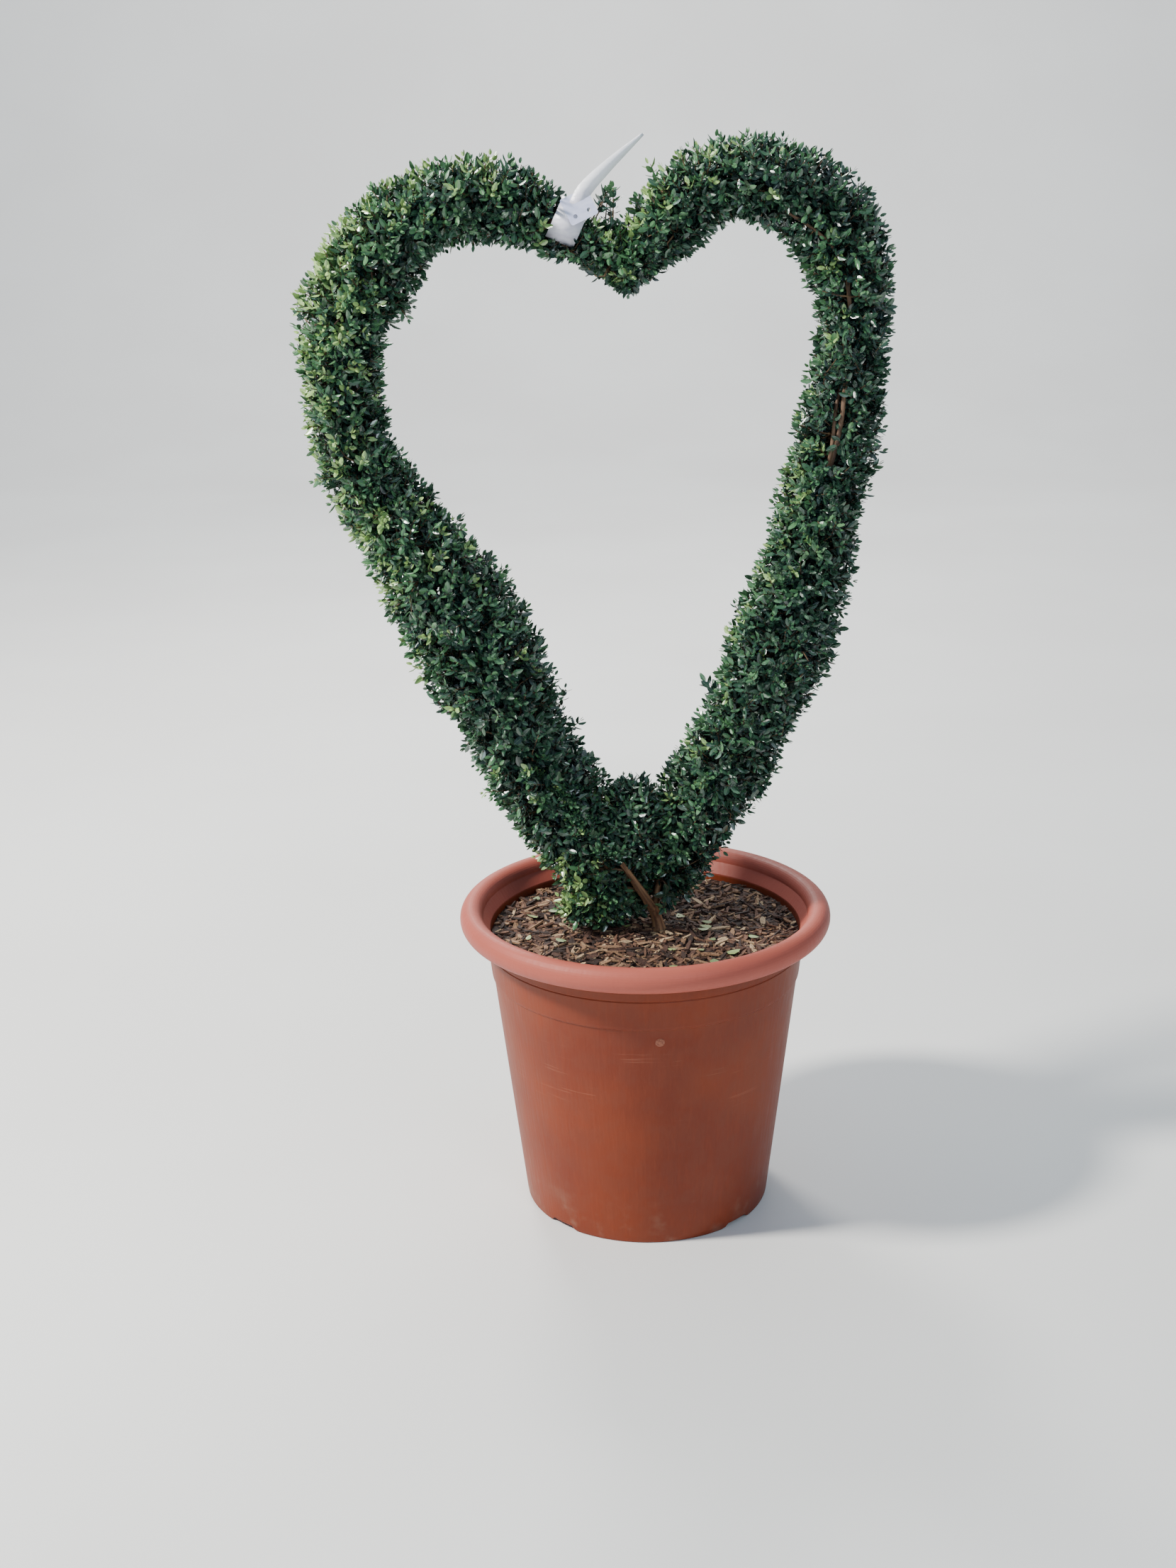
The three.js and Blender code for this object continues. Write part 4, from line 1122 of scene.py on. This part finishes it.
def grow_shoots(arms, stems):
    shoots = Shoots()
    rng = np.random.default_rng(41)
    for side, (route, radii) in enumerate(arms):
        grow_arm(shoots, route, radii, side, rng)
    for fillers, region in ((POINT_FILLERS + SKIRT_FILLERS, HEART_POINT), (DIP_FILLERS, HEART_DIP)):
        for centre, radii in fillers:
            radii = np.array(radii, float)
            count = int(4 * np.pi * (radii.mean() ** 2) / SHOOT_SPACING ** 2)
            k = np.arange(count) + 0.5
            z = 1 - 2 * k / count
            angle = k * GOLDEN_ANGLE
            flat = np.sqrt(1 - z * z)
            ball = np.stack([flat * np.cos(angle), flat * np.sin(angle), z], -1)
            tips = np.array(centre) + ball * radii * rng.uniform(0.82, 1.02, count)[:, None]
            shoots.add(tips, units(ball / radii), SHOOT_LENGTH * rng.uniform(0.7, 1, count), region, rng)
    # Short shoots of the left stem itself hide it above its bare foot
    count = COVERING_SHOOTS
    share = rng.uniform(0.078, 0.2, count)
    side = rng.uniform(-0.9, 0.9, count)
    out = np.stack([np.sin(side), -np.cos(side), np.full(count, 0.2)], -1)
    tips = stems[0].at(share) + out * rng.uniform(13, 21, count)[:, None]
    shoots.add(tips, out, SHOOT_LENGTH * rng.uniform(0.6, 0.8, count), HEART_POINT, rng, 0.35)
    # A few thin shoots stand between the label and the dip
    count = LABEL_SHOOTS
    tips = rng.uniform((-42, -4, 757), (-24, 16, 780), (count, 3))
    out = np.tile(units(np.array([0.35, 0, 0.94])), (count, 1))
    shoots.add(tips, out, SHOOT_LENGTH * rng.uniform(0.9, 1.1, count), HEART_DIP, rng)
    return shoots.joined()


def lift_dip(feet, ways, lengths):
    """Shoots that hang below the dip's clipped underside are lifted to it."""
    x, _, z = (feet + ways * lengths[:, None]).T
    edge = np.interp(x, *np.transpose(DIP_EDGE))
    low = (x > DIP_EDGE[0][0]) & (x < DIP_EDGE[-1][0]) & (z < edge) & (z > DIP_LOWEST)
    feet[low, 2] += (edge - z)[low]


def kept_shoots(feet, ways, lengths, stems, rng):
    """Which shoots stay: above the chips, off the bare places and clear of the label."""
    tips = feet + ways * lengths[:, None]
    middle = (feet + tips) / 2
    keep = (tips[:, 2] > LOWEST_TIP) & (middle[:, 2] > LOWEST_MIDDLE)
    # No shoot leaves the width of the whole plant
    keep &= (tips[:, 0] > WIDEST_TIPS[0]) & (tips[:, 0] < WIDEST_TIPS[1])
    # Nothing hangs over the bare ground to the right of the trunk
    keep &= ~((tips[:, 0] > BARE_GROUND_EDGE) & (tips[:, 2] < BARE_GROUND_TOP))
    flat_x = middle - OPEN_WAY * (middle[:, 1] / OPEN_WAY[1])[:, None]
    for x, z, half_wide, half_high in BARE_PLACES:
        near = ((flat_x[:, 0] - x) / half_wide) ** 2 + ((flat_x[:, 2] - z) / half_high) ** 2
        keep &= ~((near < 1) & (middle[:, 1] < 4) & (rng.random(len(feet)) < BARE_SHARE))
    for route, last in zip(stems, BARE_FEET):
        for spot in route.at(np.linspace(0.005, last, 40)):
            for point in (middle, tips):
                offset = point - spot
                ahead = offset @ OPEN_WAY
                aside = np.linalg.norm(offset - ahead[:, None] * OPEN_WAY, axis=1)
                keep &= ~((ahead > -4) & (aside < STEM_CLEARANCE))
    label = np.array(LABEL_PLACE)
    way = units(np.array(LABEL_WAY))
    flag = np.array(FLAG_PLACE)
    for point in (middle, tips):
        along = (point - label) @ way
        aside = point - label - along[:, None] * way
        out = np.linalg.norm(aside, axis=1)
        # The foliage hides the band where it goes down behind
        bare = (aside @ OPEN_WAY > -0.1 * out) & (aside[:, 2] > -0.84 * out)
        near = np.abs(along) < LABEL_WIDTH / 2 + BAND_CLEARANCE
        keep &= ~(near & (out > LABEL_LOOP_RADIUS - 2 * BAND_CLEARANCE) & bare)
        near = np.linalg.norm((point - flag)[:, ::2], axis=1) < FLAG_CLEARANCE
        keep &= ~(near & (point[:, 1] < 2))
    for spot in Route(LABEL_TAIL).at(np.linspace(0, 1, 12)):
        keep &= np.linalg.norm(tips - spot, axis=1) > TAIL_CLEARANCE
    return keep


def turned_to(ways, rng):
    """Euler turns that bring +Z to each way, with a free roll."""
    x = units(np.cross(ways, units(rng.normal(0, 1, ways.shape))))
    y = np.cross(ways, x)
    return np.stack([np.arctan2(y[:, 2], ways[:, 2]), -np.arcsin(np.clip(x[:, 2], -1, 1)),
                     np.arctan2(x[:, 1], x[:, 0])], -1)


def kinds_of(tips, outwards, rng):
    """0 dark, 1 middling, 2 fresh and sunlit: fresh shoots stand where the sun reaches, and the kinds are
    also painted light, lighter where a shoot faces the sun or stands to the left, darker low down as
    painted shade.
    """
    x, _, z = tips.T
    light = 0.85 * (outwards @ SUN) + 0.42 * patches(tips, 55) - x / 600
    light -= 0.5 * np.clip((SHADE_TOP - z) / SHADE_DEPTH, 0, 1)
    light += 0.95 * ((x < SUNNY_SKIRT_EDGE) & (z < SUNNY_SKIRT_TOP))
    return np.searchsorted(KIND_LIMITS, light + rng.normal(0, 0.5, len(tips)))


def grow_twigs(arms, stems, feet, ways, lengths, regions):
    """Boughs from the stems to the middle of the foliage, and a twig from a bough up each shoot."""
    rng = np.random.default_rng(43)
    boughs, ends, places = [], [], []
    for side, ((route, radii), stem) in enumerate(zip(arms, stems)):
        count = int(route.length / BOUGH_SPACING)
        share = (np.arange(count) + 0.5) / count
        angle = np.arange(count) * GOLDEN_ANGLE
        u, v = across(route.way(share))
        c, s = np.cos(angle)[:, None], np.sin(angle)[:, None]
        reach = BOUGH_REACH * np.interp(route.mark(share), np.arange(len(radii)), radii)
        end = route.at(share) + (c * u + s * v * DEPTH_RATIO) * reach[:, None]
        line = stem.at(np.linspace(0.03, STEM_END - 0.01, 400))
        lower = route.at(np.maximum(share - BOUGH_RUN / route.length, 0))
        start = line[np.argmin(np.linalg.norm(line[None] - lower[:, None], axis=2), axis=1)]
        bend = (start + end) / 2 + route.way(share) * 8 + rng.normal(0, 3, end.shape)
        t = np.linspace(0, 1, BOUGH_POINTS)[None, :, None]
        boughs.append(
            start[:, None] * (1 - t) ** 2 + 2 * bend[:, None] * t * (1 - t) + end[:, None] * t ** 2)
        ends.append(end)
        places.append(region_of(route.mark(share), side))
    boughs, ends, places = np.concatenate(boughs), np.concatenate(ends), np.concatenate(places)
    knots = boughs[:, 2:].reshape(-1, 3)
    owner = np.empty(len(feet), int)
    for first in range(0, len(feet), 500):
        near = np.linalg.norm(knots[None] - feet[first:first + 500, None], axis=2)
        owner[first:first + 500] = np.argmin(near, axis=1)
    start = knots[owner]
    tips = feet + ways * (lengths * 0.97)[:, None]
    paths = np.stack([start, start * 0.35 + feet * 0.65 - ways * 2, feet + ways * 6, tips], 1)
    return boughs, places, paths


def leaf_points(feet, lengths, tone, turns, choice):
    """Loose points that carry the size, tone, turn and shape of the spray on each."""
    points = bpy.data.meshes.new("shoot_feet")
    points.from_pydata([tuple(p) for p in metres(feet)], [], [])
    for label, values in (("size", lengths / SHOOT_LENGTH), ("tone", tone)):
        points.attributes.new(label, "FLOAT", "POINT").data.foreach_set("value", values)
    points.attributes.new("turn", "FLOAT_VECTOR", "POINT").data.foreach_set("vector", turns.ravel())
    points.attributes.new("choice", "INT", "POINT").data.foreach_set("value", choice)
    return points


def twig_mesh(name, twigs, boughs):
    thin = tubes(metres(twigs), np.broadcast_to(TWIG_RADII, (len(twigs), 4)) * MM, 3)
    radii = np.linspace(*BOUGH_RADII, BOUGH_POINTS)
    thick = tubes(metres(boughs), np.broadcast_to(radii, (len(boughs), BOUGH_POINTS)) * MM, 5)
    faces = np.concatenate([thin[1], thick[1] + len(thin[0])])
    return mesh_of(name, np.concatenate([thin[0], thick[0]]), faces, np.concatenate([thin[2], thick[2]]))


def make_foliage(arms, stems, finishes):
    feet, ways, lengths, outwards, regions = grow_shoots(arms, stems)
    rng = np.random.default_rng(42)
    lift_dip(feet, ways, lengths)
    keep = kept_shoots(feet, ways, lengths, stems, rng)
    feet, ways, lengths, outwards, regions = (a[keep] for a in (feet, ways, lengths, outwards, regions))
    tips = feet + ways * lengths[:, None]
    kinds = kinds_of(tips, outwards, rng)
    turns = turned_to(ways, rng)
    tone = np.clip(0.5 + 0.2 * patches(tips, 30) + rng.normal(0, 0.16, len(feet)), 0, 1)
    recipe = spray_recipe()
    shapes = np.random.default_rng(44)
    groups = []
    for name, size, spread in LEAF_KINDS:
        sprays = [spray_mesh(shapes, LEAF_PAIRS, SHOOT_LENGTH, LEAF_LENGTH * size, spread)
                  for _ in range(SPRAY_SHAPES)]
        groups.append(gathered(f"{name}_spray", sprays))
    boughs, bough_regions, twigs = grow_twigs(arms, stems, feet, ways, lengths, regions)
    pieces = []
    for number, region in enumerate(REGIONS):
        for kind, (name, _, _) in enumerate(LEAF_KINDS):
            chosen = (regions == number) & (kinds == kind)
            if not chosen.any():
                continue
            choice = rng.integers(0, SPRAY_SHAPES, chosen.sum())
            points = leaf_points(*(a[chosen] for a in (feet, lengths, tone, turns)), choice)
            piece = recipe.make(f"leaves_{name}_{region}", points, {
                "Sprays": groups[kind], "Size": 1.0, "Material": finishes[name]})
            pieces.append((piece, region, "foliage"))
        name = f"twigs_{region}"
        mesh = twig_mesh(name, twigs[regions == number], boughs[bough_regions == number])
        pieces.append((shown(name, mesh, finishes["twigs"]), region, "bark"))
    return pieces


# Label

def strip(centres, wides, thicks, half_width, half_thick, closed):
    """A flat band through centres, closed into a ring or with closed ends."""
    corners = [(1, -1), (1, 1), (-1, 1), (-1, -1)]
    points = [c + w * a * half_width + t * b * half_thick
              for c, w, t in zip(centres, wides, thicks) for a, b in corners]
    last = (len(centres) - 1) * 4
    faces = ring_faces(len(centres) - 1, 4)
    if closed:
        faces += [(last + side, last + (side + 1) % 4, (side + 1) % 4, side) for side in range(4)]
    else:
        faces += [(3, 2, 1, 0), (last, last + 1, last + 2, last + 3)]
    return points, faces


def label_band_mesh():
    """The ring round the foliage and the twisted free end."""
    way = units(np.array(LABEL_WAY, float))
    u = units(np.cross(way, np.array([0, 1.0, 0])))
    v = np.cross(way, u)
    steps = 48
    angle = 2 * np.pi * np.arange(steps) / steps
    out = [u * math.cos(a) + v * math.sin(a) for a in angle]
    centres = [np.array(LABEL_PLACE) + o * (LABEL_LOOP_RADIUS + 0.2 * math.sin(3 * a))
               for o, a in zip(out, angle)]
    points, faces = strip(centres, [way] * steps, out, LABEL_WIDTH / 2, LABEL_HALF_FILM, True)
    route = Route(LABEL_TAIL)
    share = np.linspace(0, 1, 24)
    tu, tv = across(route.way(share))
    twist = (LABEL_TAIL_TWIST * share)[:, None]
    wide = tu * np.cos(twist) + tv * np.sin(twist)
    thick = tv * np.cos(twist) - tu * np.sin(twist)
    narrowing = (LABEL_TAIL_WIDTH - LABEL_TAIL_TIP_WIDTH) * share ** LABEL_TAIL_NARROWING
    wide = wide * (LABEL_TAIL_WIDTH - narrowing)[:, None] / 2
    tail_points, tail_faces = strip(route.at(share), wide, thick, 1, LABEL_HALF_FILM, False)
    faces += [tuple(i + len(points) for i in face) for face in tail_faces]
    return mesh_of("label_band", metres(points + tail_points), faces)


def flag_loops():
    """The flag's outline with round corners, and its two holes."""
    half, rise, corner = LABEL_WIDTH / 2, FLAG_HEIGHT / 2, FLAG_CORNER
    outline = []
    for cx, cy, start in ((half - corner, rise - corner, 0), (corner - half, rise - corner, 90),
                          (corner - half, corner - rise, 180), (half - corner, corner - rise, 270)):
        for step in range(6):
            turn = math.radians(start + 18 * step)
            outline.append((cx + corner * math.cos(turn), cy + corner * math.sin(turn)))
    turns = np.linspace(0, 2 * np.pi, 24, endpoint=False)
    holes = [[(x + LABEL_HOLE_RADIUS * math.cos(a), LABEL_HOLE_RADIUS * math.sin(a) - FLAG_HEIGHT / 4)
              for a in turns] for x in (-half / 2, half / 2)]
    return [outline, *holes]


def label_flag_mesh():
    curve = bpy.data.curves.new("label_outline", "CURVE")
    curve.dimensions = "2D"
    curve.fill_mode = "BOTH"
    curve.extrude = LABEL_HALF_FILM * MM
    for loop in flag_loops():
        spline = curve.splines.new("POLY")
        spline.points.add(len(loop) - 1)
        for point, (x, y) in zip(spline.points, loop):
            point.co = (x * MM, y * MM, 0, 1)
        spline.use_cyclic_u = True
    drawn = bpy.data.objects.new("label_outline", curve)
    bpy.context.scene.collection.objects.link(drawn)
    graph = bpy.context.evaluated_depsgraph_get()
    flag = bpy.data.meshes.new_from_object(drawn.evaluated_get(graph))
    bpy.data.objects.remove(drawn)
    place = Matrix.Translation(Vector(metres(FLAG_PLACE)))
    lean = Matrix.Rotation(FLAG_LEAN, 4, "X") @ Matrix.Rotation(FLAG_ROLL, 4, "Y")
    upright = Matrix.Rotation(math.pi / 2, 4, "X") @ Matrix.Translation((0, 0, 0.9 * MM))
    flag.transform(place @ lean @ upright)
    flag.name = "label_flag"
    return flag


def make_label(film, flag_film):
    """Blank film: a ring round the foliage, a flag with two holes and a twisted free end."""
    return [shown("label_band", label_band_mesh(), film),
            shown("label_flag", label_flag_mesh(), flag_film, False)]


# The whole object

finishes = {
    "pot": terracotta_finish(), "soil": soil_finish(), "chips": chips_finish(),
    "bark": bark_finish(), "twigs": twig_finish(),
    # The band's grey lilac and the flag's lavender are painted shade on white film.
    "band": label_finish("label_film", "e2dfe8", "d3cfdc"),
    "flag": label_finish("label_flag_film", "d6d8f0", "c9cce8"),
    # The blue-teal in the leaves' colours is partly painted skylight in the shade.
    "dark": leaf_finish("dark_leaves", "10262a", "3b6746", 0.16),
    "middling": leaf_finish("middling_leaves", "183837", "5c8d5a", 0.15),
    "fallen": leaf_finish("fallen_leaves", "5b7338", "9ba862", 0.4),
    "fresh": leaf_finish("fresh_leaves", "356444", "b5d67e", 0.17),
}

pot = make_pot(finishes["pot"])
mark = make_gate_mark(gate_finish())
for piece in (pot, mark):
    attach(piece, "root")
    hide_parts("pot")

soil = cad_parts["potting_soil"].data.materials
soil.clear()
soil.append(finishes["soil"])

for piece in [make_bed(finishes["chips"]), *make_chips(finishes["chips"])]:
    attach(piece, "root")
    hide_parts("wood_chips")

fallen = make_fallen_leaves(finishes["fallen"])
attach(fallen, "root")

arms = [(Route([row[:3] for row in arm]), np.array([row[3] for row in arm], float))
        for arm in (LEFT_ARM, RIGHT_ARM)]
stems = [stem_route(start, arm, seed) for start, arm, seed in
         zip((LEFT_STEM_START, RIGHT_STEM_START), (LEFT_ARM, RIGHT_ARM), STEM_SEEDS)]
limbs = make_limbs(stems, finishes["bark"])
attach(limbs, "root")
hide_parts("trunk", *[f"{side}_stem_{place}" for side in ("left", "right")
                              for place in ("lower", "shoulder", "top")])

for piece, region, slot in make_foliage(arms, stems, finishes):
    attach(piece, "root")
    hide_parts(*REGION_NODES[region])

for piece in make_label(finishes["band"], finishes["flag"]):
    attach(piece, "root")
    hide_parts("loop_label")


# Floor, light and camera, in metres

SWEEP_START = 4.5
SWEEP_RADIUS = 3.0
SWEEP_TOP = 12.0
FLOOR_HALF_WIDTH = 30.0
SKY_COLOUR = (0.58, 0.78, 1.0, 1)
SKY_STRENGTH = 0.46
# Name, place, aim, width, power, colour
LIGHTS = [
    ("key_light", (-2.3, -0.7, 2.7), (0, 0, 0.6), 0.45, 210, (1.0, 0.98, 0.92)),
    ("fill_light", (1.2, -2.8, 2.2), (0, 0, 0.5), 1.2, 27, (0.8, 0.9, 1.0)),
    ("back_light", (-0.8, 2.4, 2.4), (0, 0, 0.7), 0.8, 60, (1.0, 0.98, 0.94)),
    ("backdrop_light", (0, 3.2, 4.5), (0, 7.0, 1.0), 3.0, 270, (1.0, 0.98, 0.95)),
]
LENS = 48.82
SENSOR_WIDTH = 36
PITCH = math.radians(18.15)
ROLL = math.radians(-0.96)
CAMERA_PLACE = (-0.0593, -2.147, 1.179)


def make_floor():
    """A wide floor that sweeps up far behind the plant."""
    rows = [(-FLOOR_HALF_WIDTH, 0.0)]
    for a in np.linspace(0, math.pi / 2, 25):
        rows.append((SWEEP_START + SWEEP_RADIUS * math.sin(a), SWEEP_RADIUS - SWEEP_RADIUS * math.cos(a)))
    rows.append((SWEEP_START + SWEEP_RADIUS, SWEEP_TOP))
    points = [(side * FLOOR_HALF_WIDTH, y, z) for y, z in rows for side in (-1, 1)]
    faces = [(2 * i, 2 * i + 1, 2 * i + 3, 2 * i + 2) for i in range(len(rows) - 1)]
    return shown("floor", mesh_of("floor", points, faces), floor_finish())


make_floor()

world = bpy.data.worlds.new("studio")
bpy.context.scene.world = world
world.use_nodes = True
sky = world.node_tree.nodes["Background"].inputs
sky[0].default_value = SKY_COLOUR
sky[1].default_value = SKY_STRENGTH


def soft_light(name, place, target, size, power, colour):
    lamp = bpy.data.lights.new(name, "AREA")
    lamp.shape = "DISK"
    lamp.size = size
    lamp.energy = power
    lamp.color = colour
    holder = bpy.data.objects.new(name, lamp)
    holder.location = place
    holder.rotation_euler = (Vector(target) - Vector(place)).to_track_quat("-Z", "Y").to_euler()
    bpy.context.scene.collection.objects.link(holder)


for light in LIGHTS:
    soft_light(*light)

lens = bpy.data.cameras.new("camera")
lens.lens = LENS
lens.sensor_width = SENSOR_WIDTH
camera = bpy.data.objects.new("camera", lens)
ahead = Vector((0, math.cos(PITCH), -math.sin(PITCH)))
above = Vector((0, math.sin(PITCH), math.cos(PITCH)))
right = Vector((1, 0, 0))
rolled = math.cos(ROLL) * right + math.sin(ROLL) * above
upright = -math.sin(ROLL) * right + math.cos(ROLL) * above
turn = Matrix((rolled, upright, -ahead)).transposed().to_4x4()
camera.matrix_world = Matrix.Translation(Vector(CAMERA_PLACE)) @ turn
bpy.context.scene.collection.objects.link(camera)
bpy.context.scene.camera = camera
